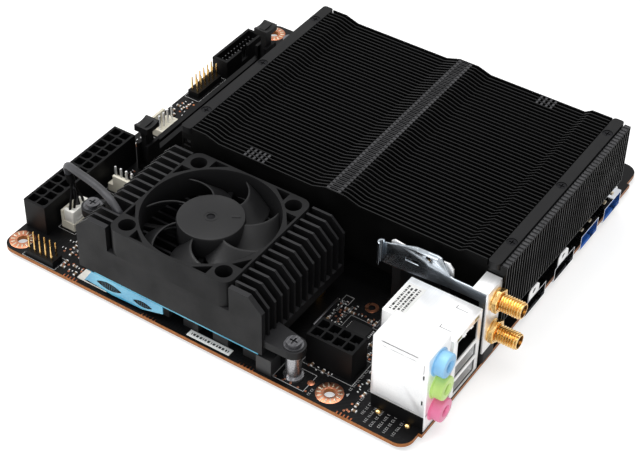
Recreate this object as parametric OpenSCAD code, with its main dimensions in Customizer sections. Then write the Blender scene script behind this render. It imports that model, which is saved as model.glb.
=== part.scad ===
// Small square mainboard with a fan cooler on the left and a large fin stack on the right.
// The origin is the centre of the board's underside. The rear edge with the sockets is at -Y.

/* [Board] */
// Width of the board along X
board_w = 170; // [165:1:210]
// Depth of the board along Y
board_d = 170; // [165:1:210]
// Thickness of the board
board_t = 1.6; // [1.2:0.1:2.4]
// Corner radius of the board
corner_r = 5; // [3:0.5:8]
// How far the strip under the rear sockets stands out
rear_lip = 1.2; // [0.5:0.1:2]
// Radius of a mounting hole
hole_r = 1.98; // [1.6:0.01:2.2]
// Outer radius of the copper ring round a mounting hole
ring_r = 4.8; // [4:0.1:5]
// Distance of the mounting holes from the side edges
hole_side = 6.26; // [6:0.01:8]
// Distance of the front holes from the front edge
hole_front = 4.9; // [4.9:0.01:8]
// Distance of the right rear hole from the rear edge
hole_rear = 10.16; // [10:0.01:12]
// Distance of the left rear hole from the rear edge
hole_offset = 33.02; // [32:0.01:34]

/* [Fan cooler] */
// Length of the fan cooler along Y
cooler_d = 77.1; // [72:0.1:80]
// Height of the cooler's fin tips above the board
cooler_h = 31.7; // [30:0.1:36]
// Distance from fin to fin
cooler_pitch = 3.7; // [3:0.1:4.4]
// Number of thin fins behind the side plate
cooler_fins = 13; // [13:1:13]
// Thickness of a thin fin
cooler_fin_t = 1; // [0.8:0.1:1.4]
// Thickness of the side plate
side_plate_t = 2; // [1.5:0.1:3]
// Gap between the board and the underside of the cooler's base
cooler_gap = 8.4; // [8:0.1:10]
// Thickness of the cooler's base
cooler_base_t = 4; // [3:0.1:5]
// Thickness of a screw arm
arm_t = 3; // [2:0.1:4]
// Radius of a screw arm's round end
arm_r = 4.2; // [3.8:0.1:5]

/* [Fan] */
// Side of the square fan frame
fan_size = 50; // [48:0.5:50]
// Thickness of the fan
fan_t = 11; // [10:0.1:12]
// Distance between the fan's screw holes
fan_holes = 40; // [39:0.5:41]
// Radius of a fan screw hole
fan_hole_r = 2.2; // [2:0.1:2.4]
// Radius of the fan's duct
duct_r = 24; // [23:0.1:24.2]
// Radius of the rotor's hub
hub_r = 11.9; // [11:0.1:13]
// Number of blades
blades = 7; // [5:1:9]
// Gap between blade tips and duct
tip_gap = 0.8; // [0.5:0.1:1.5]
// Gap between the fan frame and its pocket in the fins
pocket_gap = 0.4; // [0.3:0.1:0.8]
// Radius of the fan's shaft
shaft_r = 1.5; // [1:0.1:1.5]
// Radial clearance of the shaft in its bearing
shaft_gap = 0.04; // [0.02:0.01:0.08]

/* [Fin stack] */
// Gap between the fan cooler and the fin stack
sink_gap = 4.9; // [3:0.1:8]
// Distance from the fin stack to the board's right edge
sink_side = 23; // [20:0.5:30]
// Distance from the fin stack to the board's front edge
sink_front = 41; // [40:0.5:50]
// How far the fin stack stands over the rear edge
sink_over = 2.5; // [1:0.1:3]
// Distance from fin to fin
fin_pitch = 1.85; // [1.6:0.05:2.4]
// Thickness of a fin
fin_t = 0.45; // [0.3:0.05:0.6]
// Height of the fins' undersides above the board
sink_under = 11.9; // [11:0.1:13]
// Height of the fins' raised tops above the board
sink_h = 37.4; // [35:0.1:42]
// Depth of the two low fields between the raised tops
sink_dip = 1.8; // [1:0.1:3]
// Width of a flange bar
bar_w = 4.3; // [3.5:0.1:5]
// Height of a flange bar
bar_h = 2.6; // [2:0.1:4]
// Thickness of the base block under the fins
block_t = 6.5; // [6:0.1:7.5]
// Radius of a heat pipe
pipe_r = 2.6; // [2:0.1:2.8]

/* [Sockets] */
// Distance between power pins
power_pitch = 4.2; // [4:0.1:4.4]
// Height of the power sockets above the board
power_h = 12.6; // [11:0.1:14]
// Distance between header pins
pin_pitch = 2.54; // [2.5:0.01:2.6]
// Width of a header pin
pin_w = 0.64; // [0.5:0.02:0.7]
// Length of a memory module in its socket
module_l = 69.6; // [67:0.1:70]
// Height of the memory latches above the board
latch_h = 20.4; // [18:0.1:22]
// Width of the network and USB stack
lan_w = 18.5; // [17:0.1:19]
// Height of the network and USB stack
lan_h = 27.4; // [26:0.1:28]
// Width of the audio stack
audio_w = 14; // [13:0.1:15]
// Height of the audio stack
audio_h = 32.4; // [32:0.1:34]
// Distance between the audio jacks
jack_pitch = 10.15; // [10:0.05:10.3]
// Outer radius of an audio jack
jack_r = 4.3; // [4:0.1:4.6]
// Radius of an audio jack's bore
jack_bore_r = 1.8; // [1.7:0.05:1.9]
// Thickness of the socket shells
shell_t = 0.35; // [0.3:0.05:0.5]

/* [Wireless] */
// Distance between the two antenna connectors
antenna_pitch = 14; // [12:0.5:14]
// Outer radius of an antenna connector's thread
antenna_r = 3.1; // [2.9:0.1:3.3]
// Length of an antenna connector in front of its bracket
antenna_l = 10.5; // [9:0.1:12]
// Thickness of the wireless bracket's sheet
sheet_t = 0.8; // [0.6:0.1:1]

/* [Hidden] */
$fn = 48;

// Edges and levels of the board
xl = -board_w / 2;
xr = board_w / 2;
yb = -board_d / 2;
yf = board_d / 2;
top = board_t;
lip_y = yb - rear_lip;
hole_points = [[xl + hole_side, yf - hole_front], [xr - hole_side, yf - hole_front],
    [xl + hole_side, yb + hole_offset], [xr - hole_side, yb + hole_rear]];

// Fan cooler
cool_x = xl + 1;
cool_y = yb + 56.3;
cool_z = top + cooler_gap;
cool_base_top = cool_z + cooler_base_t;
cool_top = top + cooler_h;
cool_w = cooler_fins * cooler_pitch + cooler_fin_t;
cool_chamfer = 5.3;
arm_z = cool_base_top + 2 - arm_t;
arm_left = [cool_x + 21.7, cool_y + cooler_d + 11.4];
arm_rear = [cool_x + 5.1, cool_y - 9.1];
arm_bore_r = 1.6;
arm_screw_r = 1.25;
support_x = cool_x + cool_w - 6;
support_points = [[support_x, cool_y + 7], [support_x, cool_y + cooler_d - 7]];

// Fan in its pocket, flush with the side plate
fan_x = cool_x + fan_size / 2;
fan_y = cool_y + cooler_d / 2 - 0.1;
fan_z = cool_top - fan_t + 0.7;
floor_z = fan_z;
strut_t = 1.6;
rotor_z = fan_z + strut_t + 0.6;
stator_r = hub_r - 2.2;
bearing_r = 2.8;

// Companion chip under the fan cooler
chip_side = 30;
package_t = 1.2;
die_t = 0.8;
paste_t = 0.1;
pedestal_side = 22;
cool_die_top = top + package_t + die_t;

// Fin stack
sink_x = cool_x + cool_w + sink_gap;
sink_w = xr - sink_side - sink_x;
sink_y = yb - sink_over;
sink_d = yf - sink_front - sink_y;
fin_count = floor((sink_w - fin_t) / fin_pitch) + 1;
fins_w = (fin_count - 1) * fin_pitch + fin_t;
sink_z = top + sink_under;
sink_top = top + sink_h;
low_z = sink_top - sink_dip;
bar_rear_y = sink_y + 2.7;
bar_front_y = sink_y + sink_d - bar_w;
bar_z = sink_top - bar_h;
bar_gap = 0.3;
ridge_y = sink_y + sink_d * 0.505;
ridge_w = 8;
channel_w = 5;
slope = 5.5;
strip_drop = 3.2;
strip_h = 3;
strip_w = 3;
bar_screw_x = [for (i = [0:2]) sink_x + fins_w * (0.13 + 0.385 * i)];
bar_ys = [bar_rear_y + bar_w / 2, bar_front_y + bar_w / 2];

// Base block of the fin stack, over the main processor
block_x = sink_x + 15;
block_w = 62;
block_y = sink_y + 21.5;
block_d = 102;
block_z = sink_z - block_t;
processor_side = 40;
processor_t = 3.4;
processor_x = block_x + block_w / 2;
processor_y = block_y + 48;
pipe_xs = [for (i = [-1:1]) processor_x + 12 * i];
pipe_z = sink_z - block_t / 2;
pipe_gap = 0.05;
block_points = [for (x = [block_x + 5, block_x + block_w - 5])
    for (y = [block_y + 6, block_y + block_d - 6]) [x, y]];
post_r = 3;
screw_r = 1.25;
post_bore_r = 1.4;
head_r = 2.6;
head_t = 1.5;

// Power sockets
power_wall = 0.6;
power_depth = 9.6;
socket24_x = xl + 13;
socket24_y = yf - 1 - power_depth;
socket8_x = xl + 14.2;
socket8_y = yb + 29.8;
cell = power_pitch - 2 * 0.35;
cell_depth = 10;

// Headers
shroud = [24.6, 7.2, 8.4];
shroud_x = xr - 43.6;
shroud_y = yf - 0.9 - shroud[1];
front_header_x = xl + 0.8;
front_header_y = yf - 23.7;
short_header_x = xr - 60.6;
short_header_y = yf - 1.2 - 2 * pin_pitch;
header_h = 2.5;
// Place and turn of each fan header, the first one holds the plug
fan_headers = [[xl + 20, yf - 17.6, 0], [xl + 81, yf - 10.6, 0], [xl + 51.3, yf - 22.6, 90]];
fan_header = [10.2, 5.8, 3.2];
plug = [9.6, 4.4, 5.4];

// Route of the fan lead, from the plug over the fins into the fan's side
lead_d = 3.0;
lead_route = [[-60, 69.7, 10.2], [-60, 69.9, 13], [-60.1, 70.3, 17], [-60.4, 70.9, 21], [-61, 71.2, 25],
    [-62.2, 70.4, 28.6], [-64, 67.8, 31.4], [-65.8, 64, 33], [-67.4, 59.6, 34.1], [-68.8, 55, 34.9],
    [-70.2, 50.2, 35.4], [-71.5, 45.6, 35.3], [-72.6, 41.6, 34.2], [-73.2, 38.6, 31.8], [-73.2, 37, 29.6],
    [-73.2, 35.6, 28.7], [-73.2, 34.85, 28.5]];
lead_notch_x = -73.2;
lead_notch_w = 5;

// Memory socket
slot_x = xr - 101;
slot_y = yf - 18.7;
slot_w = 5.4;
slot_h = 7;
tower_l = 7;
tower_h = 12;
latch_w = 2.4;
latch_cap = [7.4, 6, 2.6];
latch_pivot_z = top + 4;
latch_pin_r = 0.7;
latch_pin_gap = 0.06;

// Rear sockets
face_y = lip_y + 0.2;
audio_x = xl + 9;
audio_d = 20.5;
jack_x = audio_x + audio_w / 2 - 0.2;
jack_l = 3.9;
jack_z0 = top + 6.3;
audio_base_h = 6;
lan_x = xl + 25;
lan_d = 27;
display_w = 15;
display_h = 6.2;
display_xs = [sink_x + 18, sink_x + 39.6];
usb_w = 13.6;
usb_h = 6.6;
usb_xs = [xr - 55.2, xr - 36.8];
port_front = lip_y - 1.6;
port_gap = 0.3;

// Wireless parts
card_x = sink_x - 3.2;
card_y = yb + 16.1;
card_w = 22;
card_t = 0.8;
card_h = 29.4;
bracket_x = card_x - 4.7;
bracket_y0 = lip_y - 0.3;
plate_x = bracket_x - 1.8;
plate_w = 9.4;
antenna_x = bracket_x + 3.6;
antenna_z = top + 12.4;
antenna_zs = [antenna_z, antenna_z + antenna_pitch];
antenna_seat_r = antenna_r + 0.27;
nut_t = 2.4;
foot_h = 5;

// ---- shared shapes ----

module round_plate(x, y, w, d, r) {
    translate([x + r, y]) square([w - 2 * r, d]);
    translate([x, y + r]) square([w, d - 2 * r]);
    for (px = [x + r, x + w - r])
        for (py = [y + r, y + d - r])
            translate([px, py]) circle(r);
}

module box(x, y, z, w, d, h) {
    translate([x, y, z]) cube([w, d, h]);
}

// A plate that stands in the YZ plane, from its outline in Y and Z
module upright(x, t, outline) {
    translate([x, 0, 0]) rotate([90, 0, 90]) linear_extrude(t) polygon(outline);
}

module post(x, y, z, r, h) {
    translate([x, y, z]) cylinder(r = r, h = h);
}

// A block of square pins in rows
module pins(x, y, z, nx, ny, pitch, w, h) {
    for (i = [0:nx - 1])
        for (j = [0:ny - 1])
            box(x + i * pitch - w / 2, y + j * pitch - w / 2, z, w, w, h);
}

// ---- board ----

module board() {
    color("#15161a")
        linear_extrude(board_t)
            difference() {
                union() {
                    round_plate(xl, yb, board_w, board_d, corner_r);
                    translate([xl + 7.8, lip_y]) square([board_w - 18.3, rear_lip + corner_r]);
                }
                for (p = hole_points) translate(p) circle(hole_r);
                for (p = concat(block_points, support_points)) translate(p) circle(post_bore_r);
            }
}

module mounting_rings() {
    color("#c98a5c")
        for (p = hole_points)
            translate([p[0], p[1], top])
                linear_extrude(0.12)
                    difference() {
                        circle(ring_r);
                        circle(hole_r);
                    }
}

// ---- power sockets ----

// One well: every second one has two cut corners, which keys the plug
module power_cell(keyed) {
    c = cell / 2;
    k = keyed ? 0.9 : 0.01;
    linear_extrude(cell_depth + 1)
        polygon([[-c + k, -c], [c - k, -c], [c, -c + k], [c, c], [-c, c], [-c, -c + k]]);
}

module power_housing(nx, ny) {
    w = nx * power_pitch + 2 * power_wall;
    d = ny * power_pitch + 2 * power_wall;
    difference() {
        cube([w, d, power_h]);
        for (i = [0:nx - 1])
            for (j = [0:ny - 1])
                translate([power_wall + (i + 0.5) * power_pitch, power_wall + (j + 0.5) * power_pitch,
                        power_h - cell_depth])
                    power_cell((i + j) % 2 == 0);
    }
}

module power_pin_set(nx, ny) {
    pins(power_wall + power_pitch / 2, power_wall + power_pitch / 2, power_h - cell_depth, nx, ny,
        power_pitch, 1.1, cell_depth - 2);
}

module power_socket_24() {
    color("#1c1c1e")
        translate([socket24_x, socket24_y, top]) {
            power_housing(12, 2);
            translate([6 * power_pitch - 2, power_depth, power_h - 4]) cube([5, 1, 2]);
        }
}

module power_pins_24() {
    color("#b8b8b0") translate([socket24_x, socket24_y, top]) power_pin_set(12, 2);
}

module power_socket_8() {
    color("#1c1c1e")
        translate([socket8_x, socket8_y, top]) {
            power_housing(2, 4);
            translate([power_depth, 2 * power_pitch - 2, power_h - 4]) cube([1, 5, 2]);
        }
}

module power_pins_8() {
    color("#b8b8b0") translate([socket8_x, socket8_y, top]) power_pin_set(2, 4);
}

// ---- headers ----

module usb_header_shroud() {
    color("#161618")
        translate([shroud_x, shroud_y, top])
            difference() {
                cube(shroud);
                translate([1.1, 1.1, 1.5]) cube([shroud[0] - 2.2, shroud[1] - 2.2, shroud[2]]);
                translate([shroud[0] / 2 - 2.2, -1, 3]) cube([4.4, 3, shroud[2]]);
            }
}

module usb_header_pins() {
    color("#c8a860")
        pins(shroud_x + shroud[0] / 2 - 9, shroud_y + shroud[1] / 2 - 1, top + 1.5, 10, 2, 2, 0.5, 5.5);
}

module header_base(x, y, nx, ny) {
    box(x, y, top, nx * pin_pitch, ny * pin_pitch, header_h);
}

module header_pins(x, y, nx, ny, h) {
    pins(x + pin_pitch / 2, y + pin_pitch / 2, top + header_h, nx, ny, pin_pitch, pin_w, h);
}

module pin_header_bases() {
    color("#141416") {
        header_base(front_header_x, front_header_y, 2, 5);
        header_base(short_header_x, short_header_y, 6, 2);
    }
}

module pin_header_pins() {
    color("#d8b878") {
        header_pins(front_header_x, front_header_y, 2, 5, 6);
        header_pins(short_header_x, short_header_y, 6, 2, 6);
    }
}

module fan_header_body() {
    cube(fan_header);
    translate([0, fan_header[1] - 1, fan_header[2]]) cube([fan_header[0] - 2.5, 1, 4.6]);
}

module fan_header_bodies() {
    color("#e8e4da")
        for (h = fan_headers)
            translate([h[0], h[1], top]) rotate([0, 0, h[2]]) fan_header_body();
}

module fan_header_pins() {
    color("#c8c8c0")
        for (i = [0:2])
            translate([fan_headers[i][0], fan_headers[i][1], top + fan_header[2]])
                rotate([0, 0, fan_headers[i][2]])
                    pins(1.29, 2.4, 0, 4, 1, pin_pitch, pin_w, i == 0 ? 3.9 : 6.2);
}

// The plug on the first header, with a well for each pin
module fan_plug() {
    color("#efece4")
        translate([fan_headers[0][0] + 0.3, fan_headers[0][1] + 0.2, top + fan_header[2]])
            difference() {
                cube(plug);
                translate([0.5, 1.6, -1]) cube([8.6, 1.2, 5.1]);
            }
}

// ---- fan lead ----

function cross3(a, b) = [a[1] * b[2] - a[2] * b[1], a[2] * b[0] - a[0] * b[2], a[0] * b[1] - a[1] * b[0]];
function unit(v) = v / norm(v);
function lead_dir(i) = let(n = len(lead_route) - 1)
    i == 0 ? [0, 0, 1] : i == n ? [0, -1, 0] : unit(lead_route[i + 1] - lead_route[i - 1]);
function lead_side(i) = unit(cross3(lead_dir(i), [1, 0.02, 0.01]));
function lead_ring(i) = let(s = lead_side(i), u = cross3(lead_dir(i), s))
    [for (k = [0:7]) lead_route[i] + lead_d / 2 * (cos(45 * k) * s + sin(45 * k) * u)];

module fan_lead() {
    n = len(lead_route);
    points = [for (i = [0:n - 1]) each lead_ring(i)];
    walls = [for (i = [0:n - 2]) for (k = [0:7])
        [8 * i + k, 8 * i + 8 + k, 8 * i + 8 + (k + 1) % 8, 8 * i + (k + 1) % 8]];
    ends = [[for (k = [0:7]) k], [for (k = [0:7]) 8 * n - 1 - k]];
    color("#2a2a2c") polyhedron(points, concat(walls, ends));
}

// ---- fan ----

module fan_outline() {
    round_plate(-fan_size / 2, -fan_size / 2, fan_size, fan_size, 4);
}

// Triangular pocket beside each screw boss
module fan_pocket() {
    a = fan_holes / 2;
    h = fan_size / 2 - 1;
    polygon([[a - 4.4, h], [a - 4.4, a - 0.3], [a - 10.2, h]]);
}

module fan_frame() {
    color("#232326")
        translate([fan_x, fan_y, fan_z])
            difference() {
                union() {
                    linear_extrude(fan_t)
                        difference() {
                            fan_outline();
                            circle(duct_r, $fn = 96);
                        }
                    cylinder(r = stator_r, h = strut_t);
                    for (a = [20, 110, 200, 290])
                        rotate([0, 0, a]) translate([0, -1, 0]) cube([duct_r + 0.3, 2, strut_t]);
                    cylinder(r = bearing_r + 1, h = fan_t - 4);
                }
                for (sx = [-1, 1])
                    for (sy = [-1, 1]) {
                        translate([sx * fan_holes / 2, sy * fan_holes / 2, -1])
                            cylinder(r = fan_hole_r, h = fan_t + 2);
                        translate([sx * fan_holes / 2, sy * fan_holes / 2, 2])
                            cylinder(r = fan_hole_r + 0.9, h = fan_t);
                        translate([0, 0, fan_t - 3])
                            mirror([sx < 0 ? 1 : 0, 0, 0])
                                mirror([0, sy < 0 ? 1 : 0, 0])
                                    linear_extrude(4) {
                                        fan_pocket();
                                        mirror([1, -1, 0]) fan_pocket();
                                    }
                    }
                translate([0, 0, 0.8]) cylinder(r = bearing_r, h = fan_t);
            }
}

// A swept blade that rises from its leading to its trailing edge, as a grid of points
blade_rows = 5;
blade_cols = 5;
blade_rise = fan_t - strut_t - 3.2;
blade_skin = 0.9;
blade_chord = 0.64 * 360 / blades;
blade_sweep = -24;
function blade_point(i, j, k) = let(r = hub_r - 0.7 + (duct_r - tip_gap - hub_r + 0.7) * i / blade_rows,
        a = blade_chord * j / blade_cols - blade_sweep * i * i / blade_rows / blade_rows)
    [r * cos(a), r * sin(a), 0.2 + blade_rise * j / blade_cols + blade_skin * k];
function spot(i, j, k) = 2 * (i * (blade_cols + 1) + j) + k;
function two(a, b, c, d) = [[a, b, c], [a, c, d]];

module blade() {
    points = [for (i = [0:blade_rows]) for (j = [0:blade_cols]) for (k = [0, 1]) blade_point(i, j, k)];
    skins = [for (i = [0:blade_rows - 1]) for (j = [0:blade_cols - 1])
        each concat(two(spot(i, j, 1), spot(i, j + 1, 1), spot(i + 1, j + 1, 1), spot(i + 1, j, 1)),
            two(spot(i, j, 0), spot(i + 1, j, 0), spot(i + 1, j + 1, 0), spot(i, j + 1, 0)))];
    n = blade_rows;
    m = blade_cols;
    ends = [for (j = [0:m - 1])
        each concat(two(spot(0, j + 1, 0), spot(0, j + 1, 1), spot(0, j, 1), spot(0, j, 0)),
            two(spot(n, j, 0), spot(n, j, 1), spot(n, j + 1, 1), spot(n, j + 1, 0)))];
    edges = [for (i = [0:n - 1])
        each concat(two(spot(i, 0, 0), spot(i, 0, 1), spot(i + 1, 0, 1), spot(i + 1, 0, 0)),
            two(spot(i + 1, m, 0), spot(i + 1, m, 1), spot(i, m, 1), spot(i, m, 0)))];
    polyhedron(points, concat(skins, ends, edges));
}

module fan_rotor() {
    color("#2b2b2e")
        translate([fan_x, fan_y, rotor_z]) {
            difference() {
                cylinder(r = hub_r, h = fan_t - strut_t - 1.2, $fn = 96);
                translate([0, 0, -1]) cylinder(r = hub_r - 1.2, h = fan_t - strut_t - 1.2);
                translate([0, 0, -2]) cylinder(r = shaft_r, h = fan_t);
            }
            for (k = [0:blades - 1]) rotate([0, 0, k * 360 / blades]) blade();
        }
}

module fan_shaft() {
    color("#c0c0c0")
        translate([fan_x, fan_y, fan_z + 1.2]) cylinder(r = shaft_r, h = fan_t - 2.1);
}

module fan_bearing() {
    color("#b08850")
        translate([fan_x, fan_y, fan_z + 0.8])
            difference() {
                cylinder(r = bearing_r, h = 5.6);
                translate([0, 0, 0.3]) cylinder(r = shaft_r + shaft_gap, h = 7);
            }
}

module fan_stator() {
    color("#a86838")
        translate([fan_x, fan_y, fan_z + strut_t])
            difference() {
                union() {
                    cylinder(r = bearing_r + 3.2, h = 4);
                    for (a = [0, 90, 180, 270])
                        rotate([0, 0, a]) translate([0, -2.2, 0]) cube([stator_r - 0.3, 4.4, 4]);
                }
                translate([0, 0, -1]) cylinder(r = bearing_r + 1.05, h = 7);
            }
}

// Screws that hold the fan down through the rear flange of each corner
module fan_screws() {
    color("#3a3a3c")
        for (sx = [-1, 1])
            for (sy = [-1, 1])
                translate([fan_x + sx * fan_holes / 2, fan_y + sy * fan_holes / 2, fan_z + 2])
                    difference() {
                        union() {
                            cylinder(r = fan_hole_r + 0.7, h = 1.4);
                            translate([0, 0, -6]) cylinder(r = 1.3, h = 6);
                        }
                        for (a = [0, 90]) rotate([0, 0, a]) translate([-1.5, -0.25, 0.7]) cube([3, 0.5, 1]);
                    }
}

// ---- fan cooler ----

function cooler_profile(z) = [[cool_y, z], [cool_y, cool_top - cool_chamfer],
    [cool_y + cool_chamfer, cool_top],
    [fan_y - fan_size / 2 - pocket_gap, cool_top], [fan_y - fan_size / 2 - pocket_gap, floor_z],
    [fan_y + fan_size / 2 + pocket_gap, floor_z], [fan_y + fan_size / 2 + pocket_gap, cool_top],
    [cool_y + cooler_d - cool_chamfer, cool_top], [cool_y + cooler_d, cool_top - cool_chamfer],
    [cool_y + cooler_d, z]];

module cooler_arm(p, root, w) {
    translate([0, 0, arm_z])
        linear_extrude(arm_t) {
            translate(p) circle(arm_r);
            polygon([[p[0] - arm_r, p[1]], [p[0] + arm_r, p[1]], [p[0] + w, root], [p[0] - arm_r, root]]);
        }
}

module fan_cooler_body() {
    color("#1f1f22")
        difference() {
            union() {
                box(cool_x, cool_y, cool_z, cool_w, cooler_d, cooler_base_t);
                upright(cool_x, side_plate_t, cooler_profile(cool_z));
                for (i = [1:cooler_fins])
                    upright(cool_x + i * cooler_pitch, cooler_fin_t, cooler_profile(cool_z));
                cooler_arm(arm_left, cool_y + cooler_d - 1, 13);
                cooler_arm(arm_rear, cool_y + 1, 6);
                box(fan_x - pedestal_side / 2, fan_y - pedestal_side / 2, cool_die_top + paste_t,
                    pedestal_side, pedestal_side, cool_z - cool_die_top);
            }
            for (p = [arm_left, arm_rear]) post(p[0], p[1], arm_z - 1, arm_bore_r, arm_t + 2);
            for (p = support_points) post(p[0], p[1], cool_z - 1, screw_r + 0.05, 4);
            for (sx = [-1, 1])
                for (sy = [-1, 1])
                    post(fan_x + sx * fan_holes / 2, fan_y + sy * fan_holes / 2, floor_z - 6, 1.35, 7);
            box(lead_notch_x - lead_notch_w / 2, fan_y + fan_size / 2, cool_top - 8, lead_notch_w, 10.4, 9);
        }
}

// Silver standoffs under the screw arms, with a flared foot
module arm_posts() {
    color("#b9b9bb")
        for (p = [arm_left, arm_rear])
            translate([p[0], p[1], top])
                difference() {
                    union() {
                        cylinder(r = 2.7, h = arm_z - top);
                        cylinder(r = 3.5, h = 0.8);
                    }
                    translate([0, 0, 2]) cylinder(r = arm_screw_r + 0.05, h = arm_z);
                }
}

module arm_screws() {
    color("#5a5a5c")
        for (p = [arm_left, arm_rear])
            translate([p[0], p[1], arm_z + arm_t])
                difference() {
                    union() {
                        cylinder(r = 3.4, h = 0.4);
                        cylinder(r = 2.6, h = 1.8);
                        translate([0, 0, -8]) cylinder(r = arm_screw_r, h = 8);
                    }
                    for (a = [0, 90]) rotate([0, 0, a]) translate([-1.5, -0.3, 0.9]) cube([3, 0.6, 1]);
                }
}

// ---- under the fan cooler ----

choke = [6.2, 6.2, 7.2];
choke_ys = [for (i = [0:5]) cool_y + 4 + i * 12.4];
pad_t = cooler_gap - choke[2];

module power_chokes() {
    color("#3c3d40") {
        for (y = choke_ys) translate([cool_x + 3.4, y, top]) cube(choke);
        box(cool_x + 0.2, cool_y - 3.4, top, 5.6, 6, cooler_gap - pad_t);
    }
}

module thermal_pad() {
    color("#5cc4e8") box(cool_x + 0.5, cool_y + 2, cool_z - pad_t, 10, cooler_d - 8, pad_t);
}

// Thin blue liner that hangs from the pad, in front of the chokes
module pad_liner() {
    y0 = fan_y + 3;
    color("#58b8e0")
        upright(cool_x + 0.4, 0.35, [[y0, cool_z - pad_t], [y0, 5.4], [y0 + 9, 2.8], [y0 + 22, 2.4],
            [y0 + 33, 3.6], [y0 + 38, 2.4], [y0 + 33, cool_z - pad_t]]);
}

module companion_chip() {
    color("#1e3a2a") {
        box(fan_x - chip_side / 2, fan_y - chip_side / 2, top, chip_side, chip_side, package_t);
        box(fan_x - 7, fan_y - 9, top + package_t, 14, 18, die_t);
    }
}

module thermal_paste() {
    color("#b8b8bc") {
        box(fan_x - 7, fan_y - 9, cool_die_top, 14, 18, paste_t);
        box(processor_x - 15, processor_y - 15, top + processor_t, 30, 30, paste_t);
    }
}

module main_processor() {
    color("#a8a8ac") {
        box(processor_x - processor_side / 2, processor_y - processor_side / 2, top,
            processor_side, processor_side, 1.2);
        box(processor_x - 16, processor_y - 16, top + 1.2, 32, 32, processor_t - 1.2);
    }
}

// ---- fin stack ----

function sink_profile() = let(a = sink_y, b = sink_y + sink_d, r0 = ridge_y - ridge_w / 2,
        r1 = ridge_y + ridge_w / 2, i0 = bar_rear_y + bar_w + bar_gap, i1 = bar_front_y - bar_gap)
    [[a, sink_z], [a, sink_top - 0.7], [bar_rear_y - bar_gap, sink_top - 0.7], [bar_rear_y - bar_gap, bar_z],
    [i0, bar_z], [i0, sink_top], [i0 + 8, sink_top], [i0 + 8 + slope / 2, low_z], [r0 - slope, low_z],
    [r0, sink_top], [r1, sink_top], [r1 + slope, low_z], [i1 - 6 - slope, low_z], [i1 - 6, sink_top],
    [i1, sink_top], [i1, bar_z], [b, bar_z], [b, sink_z]];

module fin(i) {
    upright(sink_x + i * fin_pitch, fin_t, sink_profile());
}

// Tabs folded from each fin's edge to the next fin, which tie the stack together
module fin_tabs() {
    w = fins_w;
    t = 0.35;
    box(sink_x, ridge_y - channel_w / 2, sink_top - 1.2, w, channel_w, t);
    box(sink_x, sink_y, sink_z, w, 3, t);
    box(sink_x, sink_y + sink_d - 3, sink_z, w, 3, t);
    box(sink_x, ridge_y - 3, sink_z, w, 6, t);
    for (i = [0:fin_count - 2])
        box(sink_x + i * fin_pitch, sink_y + 0.05, sink_top - 1.1, fin_pitch - 0.35, 2.2, t);
}

module fin_stack() {
    color("#17171a")
        difference() {
            union() {
                for (i = [0:fin_count - 1]) fin(i);
                fin_tabs();
            }
            for (y = bar_ys) {
                box(sink_x - 1, y - strip_w / 2 - 0.1, bar_z - strip_drop - strip_h, fins_w + 2,
                    strip_w + 0.2, strip_h);
                for (x = bar_screw_x) post(x, y, bar_z - strip_drop - 1, 1.3, strip_drop + 2);
            }
        }
}

module sink_block() {
    color("#8a8a8e")
        difference() {
            union() {
                box(block_x, block_y, block_z, block_w, block_d, block_t);
                box(processor_x - 15, processor_y - 15, top + processor_t + paste_t, 30, 30,
                    block_z - top - processor_t - paste_t + 0.5);
            }
            for (x = pipe_xs)
                translate([x, block_y - 1, pipe_z]) rotate([-90, 0, 0])
                    cylinder(r = pipe_r + pipe_gap, h = block_d + 2);
            for (p = block_points) post(p[0], p[1], block_z - 1, screw_r + 0.05, 5);
        }
}

module heat_pipes() {
    color("#b87048")
        for (x = pipe_xs)
            translate([x, block_y - 3, pipe_z]) rotate([-90, 0, 0]) {
                cylinder(r = pipe_r, h = block_d + 6);
                translate([0, 0, -1]) cylinder(r = pipe_r - 1, h = block_d + 8);
            }
}

module flange_bars() {
    color("#2c2c2f")
        difference() {
            for (y = bar_ys)
                translate([0, 0, bar_z])
                    linear_extrude(bar_h)
                        round_plate(sink_x - 0.6, y - bar_w / 2, fins_w + 1.2, bar_w, 1.2);
            for (y = bar_ys)
                for (x = bar_screw_x) {
                    post(x, y, bar_z - 1, 1.15, bar_h + 2);
                    post(x, y, sink_top - 1.2, 1.9, 2);
                }
        }
}

module bar_screws() {
    color("#1b1b1d")
        for (y = bar_ys)
            for (x = bar_screw_x)
                translate([x, y, sink_top - 1.2])
                    difference() {
                        union() {
                            cylinder(r = 1.8, h = 1);
                            translate([0, 0, -bar_h - strip_drop - 0.6])
                                cylinder(r = 1, h = bar_h + strip_drop + 0.6);
                        }
                        for (a = [0, 90]) rotate([0, 0, a]) translate([-1.1, -0.2, 0.5]) cube([2.2, 0.4, 1]);
                    }
}

// Nut strips in windows of the fins, which the bar screws pull upward
module nut_strips() {
    color("#707074")
        difference() {
            for (y = bar_ys)
                box(sink_x + 2, y - strip_w / 2, bar_z - strip_drop - strip_h, fins_w - 4, strip_w, strip_h);
            for (y = bar_ys)
                for (x = bar_screw_x) post(x, y, bar_z - strip_drop - strip_h - 1, 1.03, strip_h + 2);
        }
}

module spacer_posts() {
    color("#c4a050") {
        for (p = block_points) spacer(p, block_z - top);
        for (p = support_points) spacer(p, cooler_gap);
    }
}

module spacer(p, h) {
    translate([p[0], p[1], top])
        difference() {
            cylinder(r = post_r, h = h);
            translate([0, 0, -1]) cylinder(r = post_bore_r, h = h + 2);
        }
}

module underside_screws() {
    color("#4a4a4c") {
        for (p = block_points) underside_screw(p, block_z + 3.5);
        for (p = support_points) underside_screw(p, cool_z + 2.5);
    }
}

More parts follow.
